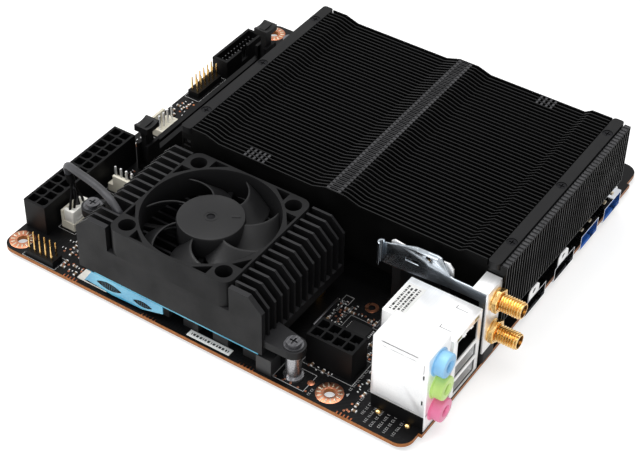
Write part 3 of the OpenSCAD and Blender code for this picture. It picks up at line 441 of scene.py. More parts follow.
FINISHES = {
    "board": board_finish(),
    # fins and cooler body: their upward faces carry a painted highlight
    "fins": lit_top_finish("Anodised fins", (5, 5, 5), (26, 26, 27), 0.2, rough=0.46, strength=0.85, specular=0.15),
    "cooler": lit_top_finish("Anodised cooler", (17, 17, 18), (46, 46, 48), 0.1, rough=0.5, strength=0.6,
                    specular=0.2),
    "socket": grained("Socket plastic", (10, 10, 11), (7, 7, 8), rough=0.5, relief=0.08, specular=0.12),
    "fan": grained("Fan plastic", (22, 22, 23), (16, 16, 17), rough=0.5, relief=0.14, specular=0.15),
    "rotor": grained("Rotor plastic", (28, 28, 29), (22, 22, 23), rough=0.42, relief=0.08, specular=0.22),
    "chip": grained("Chip resin", (20, 20, 21), (14, 14, 15), rough=0.55, relief=0.2, specular=0.25,
                    grain_scale=5000.0),
    "latch": grained("Latch plastic", (16, 16, 17), (11, 11, 12), rough=0.42, specular=0.25),
    "cream": grained("Cream plastic", (226, 222, 208), (206, 200, 182), rough=0.42),
    "white": grained("White plastic", (236, 235, 230), (216, 214, 206), rough=0.4),
    "tin": sheet_metal("Tinned shell", (250, 250, 250), (240, 241, 242), rough=0.34, spread=0.08,
                       relief=0.025, metallic=0.55),
    "zinc": sheet_metal("Zinc sheet", (190, 197, 204), (160, 168, 176), rough=0.24, spread=0.05,
                        relief=0.015, stretch=(400, 400, 3500)),
    "steel": sheet_metal("Turned steel", (188, 188, 190), (140, 140, 143), rough=0.28),
    "grey_steel": sheet_metal("Grey screw steel", (118, 118, 120), (80, 80, 83), rough=0.35),
    "black_steel": sheet_metal("Black screw steel", (40, 40, 42), (26, 26, 28), rough=0.4),
    "gold": sheet_metal("Gold plate", (242, 206, 140), (218, 172, 100), rough=0.22, stretch=(900, 900, 900)),
    "copper": sheet_metal("Tinned copper ring", (206, 142, 110), (170, 104, 78), rough=0.35,
                          stretch=(500, 500, 500)),
    "pipe": sheet_metal("Drawn copper", (196, 120, 84), (150, 84, 54), rough=0.28, stretch=(3000, 60, 3000)),
    "brass": sheet_metal("Turned brass", (200, 164, 92), (160, 122, 60), rough=0.3),
    "bars": grained("Anodised bar", (22, 22, 23), (17, 17, 18), metallic=0.2, rough=0.45, specular=0.2,
                    relief=0.15),
    "block": sheet_metal("Milled block", (150, 150, 154), (110, 110, 114), rough=0.35),
    "lid": sheet_metal("Nickel lid", (176, 176, 180), (140, 140, 146), rough=0.3),
    "ferrite": grained("Ferrite", (23, 23, 24), (18, 18, 19), rough=0.5, relief=0.3),
    "paste": grained("Thermal paste", (170, 170, 174), (140, 140, 146), rough=0.7, relief=0.4),
    "pad": grained("Thermal pad", (118, 196, 222), (86, 168, 200), rough=0.6, relief=0.3),
    "liner": grained("Blue liner", (112, 196, 226), (60, 152, 196), rough=0.22, relief=0.05, coat=0.5),
    "green": grained("Green laminate", (28, 84, 52), (18, 60, 38), rough=0.35),
    "can": sheet_metal("Capacitor can", (150, 150, 154), (112, 112, 116), rough=0.3),
    "usb_blue": grained("Blue tongue", (72, 144, 240), (54, 122, 226), rough=0.5, specular=0.15),
    "jack_blue": grained("Blue jack", (150, 208, 246), (122, 186, 234), rough=0.35),
    "jack_green": grained("Green jack", (212, 242, 150), (188, 226, 118), rough=0.35),
    "jack_pink": grained("Pink jack", (246, 136, 178), (236, 112, 160), rough=0.35),
    "sleeve": grained("Lead sleeve", (54, 54, 58), (34, 34, 37), rough=0.5, relief=0.4, grain_scale=1400.0),
    "coil": grained("Coil wire", (168, 96, 54), (132, 70, 36), rough=0.35, relief=0.6),
    "print": grained("White print", (176, 176, 176), (138, 138, 138), rough=0.6, relief=0.05),
    "paper": grained("Label paper", (232, 232, 230), (214, 214, 212), rough=0.6, relief=0.1),
    "chrome": sheet_metal("Bright shell", (222, 224, 228), (196, 198, 204), rough=0.1, spread=0.04,
                          relief=0.01),
    "solder": sheet_metal("Solder", (226, 216, 196), (196, 180, 152), rough=0.3, stretch=(700, 700, 700)),
    "lens": grained("Lamp lens", (150, 140, 84), (112, 104, 60), rough=0.25),
    "tan": grained("Ceramic capacitor", (128, 104, 78), (104, 82, 60), rough=0.45),
    # the tabs on the fin tops are coloured lighter grey than the black fins
    "tab": sheet_metal("Light grey fin tab", (74, 74, 76), (44, 44, 46), rough=0.4, metallic=0.6),
    "tab_dark": sheet_metal("Fin comb tab", (60, 60, 62), (40, 40, 42), rough=0.5, metallic=0.3),
    "ink": grained("Label ink", (34, 34, 36), (22, 22, 24), rough=0.6, relief=0.1),
}


def finish(piece, name):
    piece.data.materials.clear()
    piece.data.materials.append(FINISHES[name])
    return piece


def fit(piece, finish_name, node=None, rides="mainboard"):
    """Finishes a piece and sets it on a body, in place of the CAD node that it stands for."""
    finish(piece, finish_name)
    if node:
        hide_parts(node)
    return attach(piece, rides)


# Finishes of the CAD nodes that are kept as they are
NODE_FINISHES = {
    "board": ("board",),
    "socket": ("power_socket_24", "power_socket_8", "usb_header_shroud", "pin_header_bases",
               "memory_socket", "card_socket", "bracket_foot", "lan_usb_insert", "audio_base",
               "display_cores"),
    "black_steel": ("power_pins_24", "power_pins_8", "fan_shaft", "fan_screws", "bar_screws",
                    "underside_screws"),
    "grey_steel": ("usb_header_pins", "arm_screws"),
    "gold": ("memory_contacts",),
    "cream": ("fan_header_bodies",),
    "tin": ("fan_header_pins", "end_bracket"),
    "brass": ("fan_bearing", "spacer_posts"),
    "coil": ("fan_stator",),
    "cooler": ("fan_cooler_body",),
    "steel": ("arm_posts", "latch_pins"),
    "pad": ("thermal_pad",),
    "liner": ("pad_liner",),
    "ferrite": ("power_chokes",),
    "green": ("companion_chip",),
    "paste": ("thermal_paste",),
    "lid": ("main_processor",),
    "fins": ("fin_stack",),
    "block": ("sink_block", "nut_strips"),
    "pipe": ("heat_pipes",),
    "bars": ("flange_bars",),
    "latch": ("memory_latch_left", "memory_latch_right"),
    "chrome": ("display_shells", "usb_shells"),
    "usb_blue": ("usb_cores",),
    "can": ("capacitors",),
}
for finish_name, nodes in NODE_FINISHES.items():
    for node in nodes:
        finish(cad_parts[node], finish_name)


# ---- places taken from the frame ----

def span(node):
    low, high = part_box(node)
    return [c / MM for c in low], [c / MM for c in high]


def middle(node):
    low, high = span(node)
    return [(a + b) / 2 for a, b in zip(low, high)]


BOARD_TOP = round(span("board")[1][2], 3)
FIN_PITCH, FIN_THICKNESS = 1.85, 0.45
PIN_PITCH = 2.54
POWER_PITCH = 4.2


# ---- fan ----

def rounded_square(cx, cy, half, radius, steps=6):
    points = []
    for quarter, (sx, sy) in enumerate(((1, 1), (-1, 1), (-1, -1), (1, -1))):
        for i in range(steps + 1):
            a = math.radians(90 * quarter + 90 * i / steps)
            points.append((cx + sx * (half - radius) + radius * math.cos(a),
                           cy + sy * (half - radius) + radius * math.sin(a)))
    return points


def make_fan_frame():
    """Housing with its duct, corner wells and pockets, and the motor seat on four struts."""
    low, high = span("fan_frame")
    cx, cy = middle("fan_frame")[:2]
    z0, z1 = low[2], high[2]
    half, hole_reach, duct = 25, 20, 24.0
    shell = plate("fan_housing", rounded_square(cx, cy, half, 4), z1 - z0, (0, 0, z0))
    cutters = [rod("duct", (cx, cy, z0 - 1), duct, z1 - z0 + 2, sides=128),
               turned("flare", [(0, 0), (duct, 0), (duct + 0.35, 1.6), (0, 1.6)],
                      (cx, cy, z1 - 1.2), sides=128)]
    for sx in (-1, 1):
        for sy in (-1, 1):
            x, y = cx + hole_reach * sx, cy + hole_reach * sy
            cutters.append(rod("hole", (x, y, z0 - 1), 2.2, z1 - z0 + 2, sides=32))
            cutters.append(rod("well", (x, y, z0 + 2), 3.0, z1 - z0, sides=40))
            corners = [(15.7, 24.2), (15.7, 20.0), (10.0, 24.2)]
            for ends in (corners, [(b, a) for a, b in corners]):
                outline = [(cx + sx * a, cy + sy * b) for a, b in ends]
                cutters.append(plate("pocket", outline, 5, (0, 0, z1 - 3.4)))
    cut(shell, *cutters)
    shell = soften(shell, 0.28, 2)
    column = turned("column", [(0, 0), (9.7, 0), (9.7, 1.6), (3.8, 1.6), (3.8, 7.0), (0, 7.0)], (cx, cy, z0))
    struts = []
    for k in range(4):
        strut = block("strut", (8.5, -1, 0), (24.2, 1, 1.6), 0.25)
        strut.data.transform(shift(cx, cy, z0) @ turn(20 + 90 * k))
        struts.append(strut)
    shell = weld("fan_housing", [column] + struts + [shell])
    fit(shell, "fan", "fan_frame")


def make_rotor():
    """Hub cup with a raised ring and a mark, and seven swept blades."""
    low, high = span("fan_rotor")
    cx, cy = middle("fan_shaft")[:2]
    z0, top = low[2], high[2]
    h = top - z0
    hub = turned("rotor_hub", [(1.5, h), (10.9, h), (11.6, h - 0.25), (11.9, h - 0.9), (11.9, 0), (10.7, 0),
                               (10.7, h - 1.1), (1.5, h - 1.1)], (cx, cy, z0), sides=96)
    ring = turned("rotor_ring", [(2.2, -0.05), (2.45, -0.05), (2.45, 0.08), (2.2, 0.08)], (cx, cy, top))
    mark = block("rotor_mark", (-1.5, -0.5, -0.05), (1.5, 0.5, 0.2), 0.05)
    mark.data.transform(shift(cx + 4.7, cy - 7.2, top) @ turn(-57))
    deselect()
    bpy.ops.mesh.primitive_grid_add(x_subdivisions=12, y_subdivisions=12, size=1)
    blade = bpy.context.object
    for v in blade.data.vertices:
        u, w = v.co.x + 0.5, v.co.y + 0.5
        r = 11.3 + 12.0 * u
        a = math.radians((32 - 2 * u) * w + 27 * u ** 1.5 + 0.5)
        z = z0 + 0.5 + (h - 1.3) * (w ** 1.25) - 0.6 * u * w
        v.co = (r * math.cos(a) * MM, r * math.sin(a) * MM, z * MM)
    pick(blade)
    bpy.ops.object.mode_set(mode="EDIT")
    face_out()
    thick = blade.modifiers.new("Thickness", "SOLIDIFY")
    thick.thickness = 0.75 * MM
    thick.offset = 0
    smooth = blade.modifiers.new("Smooth", "SUBSURF")
    smooth.levels = smooth.render_levels = 1
    smooth_under(apply_all(blade), 50)
    blade.data.transform(shift(cx, cy))
    blades = around(blade, cx, cy, 7)
    drop(blade)
    rotor = weld("fan_blades_and_hub", blades + [ring, mark, hub])
    fit(rotor, "rotor", "fan_rotor", "rotor")


# ---- fan lead, repeated from the CAD route ----

LEAD = [(-60, 69.7, 10.2), (-60, 69.9, 13), (-60.1, 70.3, 17), (-60.4, 70.9, 21), (-61, 71.2, 25),
        (-62.2, 70.4, 28.6), (-64, 67.8, 31.4), (-65.8, 64, 33), (-67.4, 59.6, 34.1), (-68.8, 55, 34.9),
        (-70.2, 50.2, 35.4), (-71.5, 45.6, 35.3), (-72.6, 41.6, 34.2), (-73.2, 38.6, 31.8), (-73.2, 37, 29.6),
        (-73.2, 35.6, 28.7), (-73.2, 34.85, 28.5)]


def smooth_route(points, per=10):
    """Points along one smooth line through the route, as Catmull-Rom steps."""
    p = [Vector(q) for q in points]
    p = [p[0] * 2 - p[1]] + p + [p[-1] * 2 - p[-2]]
    out = []
    for i in range(1, len(p) - 2):
        for k in range(per):
            t = k / per
            a, b, c, d = p[i - 1], p[i], p[i + 1], p[i + 2]
            out.append(0.5 * ((2 * b) + (c - a) * t + (2 * a - 5 * b + 4 * c - d) * t * t
                              + (3 * b - a - 3 * c + d) * t ** 3))
    out.append(p[-2])
    return out


def ribbed_tube(name, route, radius, rib, sides=14, core=None, core_steps=0):
    """A braided sleeve: a tube along the route whose rings swell and narrow.

    Its first core_steps rings, if any, are the thin bundle of radius core that the sleeve closes on."""
    deselect()
    n = len(route)
    bpy.ops.mesh.primitive_cylinder_add(vertices=sides, radius=1, depth=1, end_fill_type="NOTHING")
    tube = bpy.context.object
    tube.name = name
    bpy.ops.object.mode_set(mode="EDIT")
    shape = bmesh.from_edit_mesh(tube.data)
    shape.clear()
    rings = []
    side = Vector((1, 0, 0))
    for i, p in enumerate(route):
        ahead = (route[min(i + 1, n - 1)] - route[max(i - 1, 0)]).normalized()
        side = (side - ahead * side.dot(ahead)).normalized()
        over = ahead.cross(side)
        r = core if i < core_steps else radius * (1 + (rib if i % 2 else -rib))
        rings.append([shape.verts.new((p + r * (math.cos(a) * side + math.sin(a) * over)) * MM)
                      for a in (2 * math.pi * k / sides for k in range(sides))])
    for a, b in zip(rings, rings[1:]):
        for k in range(sides):
            j = (k + 1) % sides
            shape.faces.new((a[k], a[j], b[j], b[k]))
    shape.faces.new(list(reversed(rings[0])))
    shape.faces.new(rings[-1])
    bmesh.update_edit_mesh(tube.data)
    face_out()
    return smooth_under(tube, 60)


def make_lead():
    """Four loose wires that leave the plug and run into a ribbed sleeve."""
    per = 9
    whole = smooth_route(LEAD, per)
    sleeve = ribbed_tube("lead_sleeve", whole, 1.42, 0.035, core=0.6, core_steps=3 * per)
    fit(sleeve, "sleeve", "fan_lead")
    fit(ribbed_tube("lead_tie", smooth_route([LEAD[3], LEAD[4]], 6), 1.62, 0.0), "socket")
    wires = []
    for dx, dy in ((-3.8, 0.1), (-1.3, -0.2), (1.2, 0.2), (3.6, -0.1)):
        x0 = -60 + dx
        ends = [(x0, 69.9, 9.4), (x0 * 0.8 - 12.0, 69.9 + dy, 12.0), (-60.1 + dx * 0.32, 70.3 + dy * 3, 16),
                (-60.3 + dx * 0.22, 70.7 - dy * 3, 19.5), (-60.5 + dx * 0.12, 70.9, 22.5)]
        wires.append(line_tube("wire", ends, 0.5))
    loose = weld("lead_wires", wires)
    fit(loose, "socket")


def make_plug():
    low, high = span("fan_plug")
    x0, y0, z0 = low
    x1, y1, z1 = high
    plug = block("lead_plug", low, high, 0)
    cut(plug, block("throat", (x0 + 1.5, y0 + 0.9, z1 - 2.6), (x1 - 1.5, y1 + 1, z1 + 1), 0),
        block("window", (x0 + 2.0, y0 - 1, z0 + 1.2), (x1 - 2.0, y0 + 0.4, z0 + 2.4), 0))
    fit(soften(plug, 0.18), "white", "fan_plug")


# ---- sockets on the rear edge ----

def make_audio():
    """Folded can with its slots and feet, and three coloured jacks in it."""
    low, high = span("audio_shell")
    x0, y0, _ = low
    x1, y1, z1 = high
    low_edge, way, wall = 7.6, 4.33, 0.35
    jack_low, jack_high = span("audio_jacks")
    jx = middle("audio_jacks")[0]
    zs = [jack_low[2] + 4.3 + i * (jack_high[2] - jack_low[2] - 8.6) / 2 for i in range(3)]
    can = block("audio_can", (x0, y0, low_edge), (x1, y1, z1), 0.45, 3)
    cutters = [block("hollow", (x0 + wall, y0 + wall, low_edge - 1), (x1 - wall, y1 - wall, z1 - wall), 0)]
    cutters += [rod("way", (jx, y0 - 1, z), way, 3, "Y", 48) for z in zs]
    for a, b, c, d in ((-82.2, -68.8, 33.0, 33.45), (-81.6, -69.4, 31.3, 31.5), (-84.6, -84.4, 27.2, 31.0),
                       (-84.9, -84.3, 24.6, 26.6), (-84.9, -84.3, 13.2, 15.2), (-82.5, -67.0, 8.6, 8.85)):
        cutters.append(block("slot", (x0 - 1, a, c), (x0 + 0.5, b, d), 0))
    cut(can, *cutters)
    lip = block("can_foot", (x0, y0, BOARD_TOP), (x1, y0 + 0.4, low_edge + 1.2), 0.12)
    cut(lip, rod("way", (jx, y0 - 1, zs[0]), way, 3, "Y", 48))
    tabs = [block("tab", (x0 - 0.25, y, 31.6), (x0 + 0.1, y + 1.6, 31.95), 0.08) for y in (-72.6, -79.0)]
    legs = [turned("solder", [(0, 0), (1.1, 0), (0.9, 0.5), (0.4, 0.8), (0, 0.9)],
                   (x0 - 0.5, y, BOARD_TOP), sides=20) for y in (-69.5, -80.5)]
    can = weld("audio_can", [lip] + tabs + [can])
    fit(can, "tin", "audio_shell")
    fit(weld("audio_solder", legs), "gold")
    for z, colour, place_name in zip(zs, ("jack_pink", "jack_green", "jack_blue"), ("low", "middle", "high")):
        collar = turned("jack_" + place_name, [
            (1.8, -14), (1.8, 3.2), (2.25, 3.9), (3.7, 3.9), (4.12, 3.72), (4.3, 3.3), (4.3, 0.5),
            (4.3, -14)], (jx, y0, z), "-Y", 56)
        fit(collar, colour, "audio_jacks")
        seat = turned("jack_seat_" + place_name, [(4.35, -0.1), (5.0, -0.1), (5.0, 0.35), (4.35, 0.5)],
                      (jx, y0 + 0.2, z), "-Y", 40)
        fit(seat, colour)
        spring = turned("jack_spring_" + place_name, [(1.3, -9), (1.7, -9), (1.7, -5), (1.3, -5)],
                        (jx, y0, z), "-Y", 24)
        fit(spring, "tin")


def make_lan():
    """Network and USB can with its mouths, lamps, contacts and a blank label."""
    low, high = span("lan_usb_shell")
    x0, y0, z0 = low
    x1, y1, z1 = high
    cx = (x0 + x1) / 2
    wall = 0.35
    usb_floors = (z0 + 1.1, z0 + 8.5)
    lamp_xs = (x0 + 2.2, x1 - 5.2)
    can = block("network_can", low, high, wall)
    cutters = [block("hollow", (x0 + wall, y0 + wall, z0 - 1), (x1 - wall, y1 - wall, z1 - wall), 0),
               block("network_mouth", (cx - 6.5, y0 - 1, z0 + 16.1), (cx + 6.5, y0 + 1, z0 + 24.9), 0)]
    for z in usb_floors:
        cutters.append(block("mouth", (cx - 6.85, y0 - 1, z), (cx + 6.85, y0 + 1, z + 5.7), 0))
    for x in lamp_xs:
        cutters.append(block("lamp", (x, y0 - 1, z1 - 2.2), (x + 3.0, y0 + 1, z1 - 0.7), 0))
    for x in (x0 + 3.4, x1 - 4.6):
        for near, wide, far in ((0, 0.25, 4.5), (4.3, 1.6, 4.55)):
            cutters.append(block("slot", (x, y0 + 3 + near, z1 - 1), (x + wide, y0 + 3 + far, z1 + 1), 0))
    for z in (z0 + 4.0, z0 + 11.0, z0 + 19.0):
        for x in (x0, x1):
            cutters.append(block("slot", (x - 1, y0 + 1.8, z), (x + 1, y0 + 2.1, z + 3.2), 0))
    cut(can, *cutters)
    lips = []
    for z in usb_floors:
        rim = block("rim", (cx - 6.6, y0 + 0.5, z + 0.3), (cx + 6.6, y0 + 3.0, z + 5.4), 0.1)
        cut(rim, block("hollow", (cx - 6.3, y0 - 1, z + 0.55), (cx + 6.3, y0 + 5, z + 5.15), 0))
        lips.append(rim)
        lips.append(block("edge", (cx - 5.6, y0 + 0.9, z + 2.3), (cx + 5.6, y0 + 1.1, z + 2.45), 0.03))
    for x in (cx - 3.2, cx + 1.4):
        lips.append(block("spring", (x, y0 - 0.2, z0 + 24.5), (x + 1.8, y0 + 1.5, z0 + 24.8), 0.1))
    fit(weld("network_can", lips + [can]), "tin", "lan_usb_shell")
    lamps = [block("lamp", (x, y0 + 0.1, z1 - 2.2), (x + 3.0, y0 + 0.34, z1 - 0.7), 0.06) for x in lamp_xs]
    fit(weld("network_lamps", lamps), "lens")
    wire = block("contact", (cx - 3.7, y0 + 3.2, z0 + 22.4), (cx - 3.4, y0 + 9.5, z0 + 22.6), 0.05)
    wires = repeat(wire, [(i * 1.02, 0, 0) for i in range(8)])
    drop(wire)
    pad = block("contact", (cx - 4.9, y0 + 2.6, z0 + 4.05), (cx - 3.6, y0 + 9, z0 + 4.12), 0.02)
    pads = repeat(pad, [(i * 2.8, 0, j * 7.4) for i in range(4) for j in range(2)])
    drop(pad)
    fit(weld("network_contacts", wires + pads), "gold")
    label = block("label", (x0 + 1.0, y1 - 7.5, z1 - 0.02), (x1 - 3.0, y1 - 0.8, z1 + 0.06), 0.02)
    fit(label, "paper")
    rng = random.Random(4)
    bars = []
    y = y1 - 1.6
    for _ in range(4):
        x = x0 + 1.6
        while x < x1 - 4.6:
            w = rng.choice((0.35, 0.5, 0.9, 1.3))
            bars.append(block("bar", (x, y - 0.75, z1 + 0.05), (min(x + w, x1 - 3.6), y, z1 + 0.09), 0.01, 1))
            x += w + rng.choice((0.3, 0.45))
        y -= 1.35
    fit(weld("label_bars", bars), "ink")


ANTENNA_SEAT = 3.37


def antenna_axes():
    """Where the two antenna axes lie: one x, and a height for each."""
    low, high = span("antenna_connectors")
    return low[0] + ANTENNA_SEAT, (low[2] + ANTENNA_SEAT, high[2] - ANTENNA_SEAT)


def make_antennas():
    ax, zs = antenna_axes()
    plate_y = span("antenna_nuts")[1][1]
    barrels, nuts = [], []
    for z in zs:
        profile = [(2.3, 10.5), (2.3, 2.2), (0.62, 2.2), (0.62, 9.2), (0.3, 9.7), (0, 9.7), (0, -5.8),
                   (2.7, -5.8), (2.7, -0.8), (3.34, -0.8), (3.34, 2.45)]
        h = 2.5
        while h < 9.2:
            profile += [(2.6, h), (3.1, h + 0.34), (3.1, h + 0.56), (2.6, h + 0.9)]
            h += 0.92
        profile += [(2.6, 9.9), (2.85, 10.05), (2.85, 10.35), (2.65, 10.5)]
        barrels.append(turned("barrel", profile, (ax, plate_y, z), "-Y"))
        nut = rod("nut", (0, 0, 0.5), 4.6, 1.9, "Z", 6)
        nut.data.transform(shift(ax, plate_y, z) @ turn(90, "X") @ turn(0 if z < 20 else 8))
        cut(nut, rod("bore", (ax, plate_y + 1, z), 3.38, 5, "-Y", 40))
        nuts.append(soften(nut, 0.3, 2))
        nuts.append(turned("washer", [(3.4, 0), (4.2, 0), (4.2, 0.3), (3.9, 0.5), (3.4, 0.5)],
                           (ax, plate_y, z), "-Y", 40))
    fit(weld("antenna_barrels", barrels), "gold", "antenna_connectors")
    fit(weld("antenna_hex_nuts", nuts), "gold", "antenna_nuts")


def make_bracket():
    """Wireless card on edge, its sheet-metal bracket and the end plate that holds the antennas."""
    low, high = span("wireless_bracket")
    card_low, card_high = span("wireless_card")
    sheet_x = low[0] + 2.4
    y_near, y_far = card_low[1] + 24, low[1]
    z_card = card_high[2]
    outline = [(y_near, 24.9), (y_near, z_card + 1.2), (y_near - 3, z_card + 1.9),
               (-51.5, z_card + 3.1), (-57.8, z_card + 5.0), (-65.8, z_card + 5.4), (-67.2, z_card + 5.0),
               (-70.9, z_card - 0.9), (-72.4, z_card - 1.2), (y_far + 0.9, z_card - 1.2),
               (y_far + 0.9, 6.7), (y_far + 3.2, 6.7), (y_far + 4.4, 26.6), (-71, 26.6), (y_near - 2, 24.9)]
    sheet = plate("bracket_sheet", outline, 0.8, (sheet_x, 0, 0), "YZ")
    cut(sheet, rod("hole", (sheet_x - 1, -62.5, z_card + 2.4), 1.1, 3, "X", 24),
        block("slot", (sheet_x - 1, -59.0, z_card - 2.2), (sheet_x + 2, -54.0, z_card - 0.9), 0))
    sheet = soften(sheet, 0.2, 2)
    bends = [math.radians(20 * i) for i in range(-1, 10)]
    arc = [(sheet_x - 0.6 + r * math.cos(a), y_near + r * math.sin(a))
           for r, steps in ((1.4, bends), (0.75, bends[::-1])) for a in steps]
    curl = plate("curl", arc, 9.6, (0, 0, 24.9), "XY", 0.1)
    flange = block("flange", (sheet_x - 1.4, -66.5, z_card + 4.6), (sheet_x + 0.6, -58.5, z_card + 5.2), 0.25)
    fit(weld("bracket_sheet", [curl, flange, sheet]), "zinc", "wireless_bracket")
    top_z = 34.2
    end = block("bracket_end", (low[0], y_far, 6.6), (high[0], y_far + 0.8, top_z), 0)
    ax, zs = antenna_axes()
    cut(end, *[rod("way", (ax, y_far - 1, z), 3.25, 4, "Y", 40) for z in zs])
    end = soften(end, 0.2, 2)
    roof = block("bracket_roof", (low[0], y_far, top_z - 0.8), (high[0], y_far + 6, top_z), 0.25)
    fit(weld("bracket_end", [roof, end]), "tin", "wireless_bracket")
    card = plate("wireless_card_board", [
        (card_low[1], card_low[2]), (card_high[1], card_low[2]), (card_high[1], z_card - 0.3),
        (card_high[1] - 9.4, z_card - 0.3), (card_high[1] - 9.8, z_card - 1.6),
        (card_low[1] + 9.8, z_card - 1.6), (card_low[1] + 9.4, z_card - 0.3), (card_low[1], z_card - 0.3)],
        0.8, (card_high[0] - 0.8, 0, 0), "YZ", 0.08)
    fit(card, "chip", "wireless_card")
    shield = block("card_shield", (card_low[0], card_low[1] + 3, 11.6),
                   (card_low[0] + 1.6, card_low[1] + 18, 25.6), 0.25)
    fit(shield, "socket")
    ears = []
    for outline in ([(-47.2, 30), (-47.4, 34.6), (-48.6, 35.4), (-55.6, 34.4), (-55.6, 30)],
                    [(-62.2, 30), (-62.4, 35.0), (-69.6, 35.4), (-71.2, 33.6), (-71.4, 30)]):
        ear = plate("ear", outline, 0.6, (card_low[0] - 0.9, 0, 0), "YZ")
        cut(ear, rod("hole", (card_low[0] - 2, outline[1][0] - 3.2, 33.0), 0.9, 3, "X", 24))
        ears.append(soften(ear, 0.12, 2))
    fit(weld("card_ears", ears), "tin")
    hints = [block("hint", (card_low[0] - 1.1, y, 31.4), (card_low[0] - 0.8, y + 2.4, 33.2), 0.08)
             for y in (-52.6, -68.6)]
    fit(weld("card_corners", hints), "green")
    plugs = [turned("coax", [(0, 0), (1.3, 0), (1.3, 0.9), (0.9, 1.2), (0, 1.2)],
                    (card_high[0] - 2.0, card_low[1] + dy, z_card - 2.6), "X", 24) for dy in (8, 14)]
    fit(weld("card_coax", plugs), "gold")


# ---- board dressing ----

def make_rings():
    low, high = span("mounting_rings")
    r = 4.8
    z = low[2]
    centres = [(low[0] + r, high[1] - r), (high[0] - r, high[1] - r), (low[0] + r, -51.98),
               (high[0] - r, low[1] + r)]
    rings, strips = [], []
    for x, y in centres:
        rings.append(turned("ring", [(2.0, 0), (2.0, 0.16), (2.25, 0.2), (4.6, 0.14), (4.8, 0.05), (4.8, 0)],
                            (x, y, z), sides=56))
        strip = block("strip", (x + 2.75, y - 0.28, z + 0.1), (x + 4.35, y + 0.28, z + 0.22), 0.06, 1)
        strips += around(strip, x, y, 14, 12)
        drop(strip)
    fit(weld("hole_rings", rings), "copper", "mounting_rings")
    fit(weld("hole_ring_solder", strips), "solder")


# Areas of bare board that carry small parts, as x0, y0, x1, y1 and a count, and spots to leave free
ZONES = [(-60, -31.5, -39, -37.5, 26), (-59, -56, -43.5, -50.5, 16), (-45, -48, -41, -38, 8),
         (-76, -63.5, -43, -58, 30), (-72.5, -50, -71.4, -38, 6), (-84, -64, -77, -58, 7),
         (-76, 50.5, -68, 66, 20), (-55, 52, -40, 66, 30), (-54, 67, -42, 73, 12), (-17, 74, -7, 83, 14),
         (9, 74, 22, 83, 14), (-28, 46.5, 60, 64.5, 90), (63.5, 38, 83, 66, 26), (63.5, -4, 83, 22, 28),
         (63.5, -68, 83, -52, 16), (63.5, -34, 83, -26, 12), (-30, 66, -25, 73, 4), (-84, 51, -78, 60, 8)]
KEEP_OUT = [(-66.5, 55, -58, 66), (-39.9, 62, -33, 73), (-58.5, 56, -51, 62), (68, 24, 80, 36),
            (70, 48, 77, 56), (67, -26, 77, -16), (-34, 46, -24, 58), (68, 60, 80, 72),
            (-84.5, -60, -74, -46), (-24, 64, -15, 73), (70, -52, 84, -37), (62, -53, 71, -45)]


def small_part(body_size, end_size, edge, end_edge):
    """A chip part's body and its two plated ends, from half lengths, half widths and heights."""
    (a, b, h), (c, d, k) = body_size, end_size
    core = block("body", (-a, -b, BOARD_TOP), (a, b, BOARD_TOP + h), edge, 1)
    ends = [block("end", (x0, -d, BOARD_TOP), (x1, d, BOARD_TOP + k), end_edge, 1)
            for x0, x1 in ((-c, -a), (a, c))]
    return core, weld("ends", ends)


def make_small_parts():
    rng = random.Random(11)
    grid, clear, most_tries = 0.6, 2.2, 600
    chip_r, ends_r = small_part((0.5, 0.27, 0.36), (0.82, 0.3, 0.4), 0.04, 0.05)
    chip_c, ends_c = small_part((0.55, 0.42, 0.62), (0.9, 0.44, 0.65), 0.06, 0.06)
    dark, tan, ends, spots = [], [], [], []
    for x0, y0, x1, y1, count in ZONES:
        tries = 0
        while count > 0 and tries < most_tries:
            tries += 1
            x = round(rng.uniform(x0 + 1, x1 - 1) / grid) * grid
            y = round(rng.uniform(y0 + 0.6, y1 - 0.6) / grid) * grid
            if any(a - 1 < x < c + 1 and b - 1 < y < d + 1 for a, b, c, d in KEEP_OUT):
                continue
            if any(abs(x - a) < clear and abs(y - b) < clear for a, b in spots):
                continue
            spots.append((x, y))
            count -= 1
            spot = shift(x, y) @ turn(rng.choice((0, 90)))
            if rng.random() < 0.45:
                tan.append(copy_of(chip_c, spot))
                ends.append(copy_of(ends_c, spot))
            else:
                dark.append(copy_of(chip_r, spot))
                ends.append(copy_of(ends_r, spot))
    drop(chip_r, chip_c, ends_r, ends_c)
    fit(weld("small_resistors", dark), "chip")
    fit(weld("small_capacitors", tan), "tan")
    fit(weld("small_part_ends", ends), "tin")


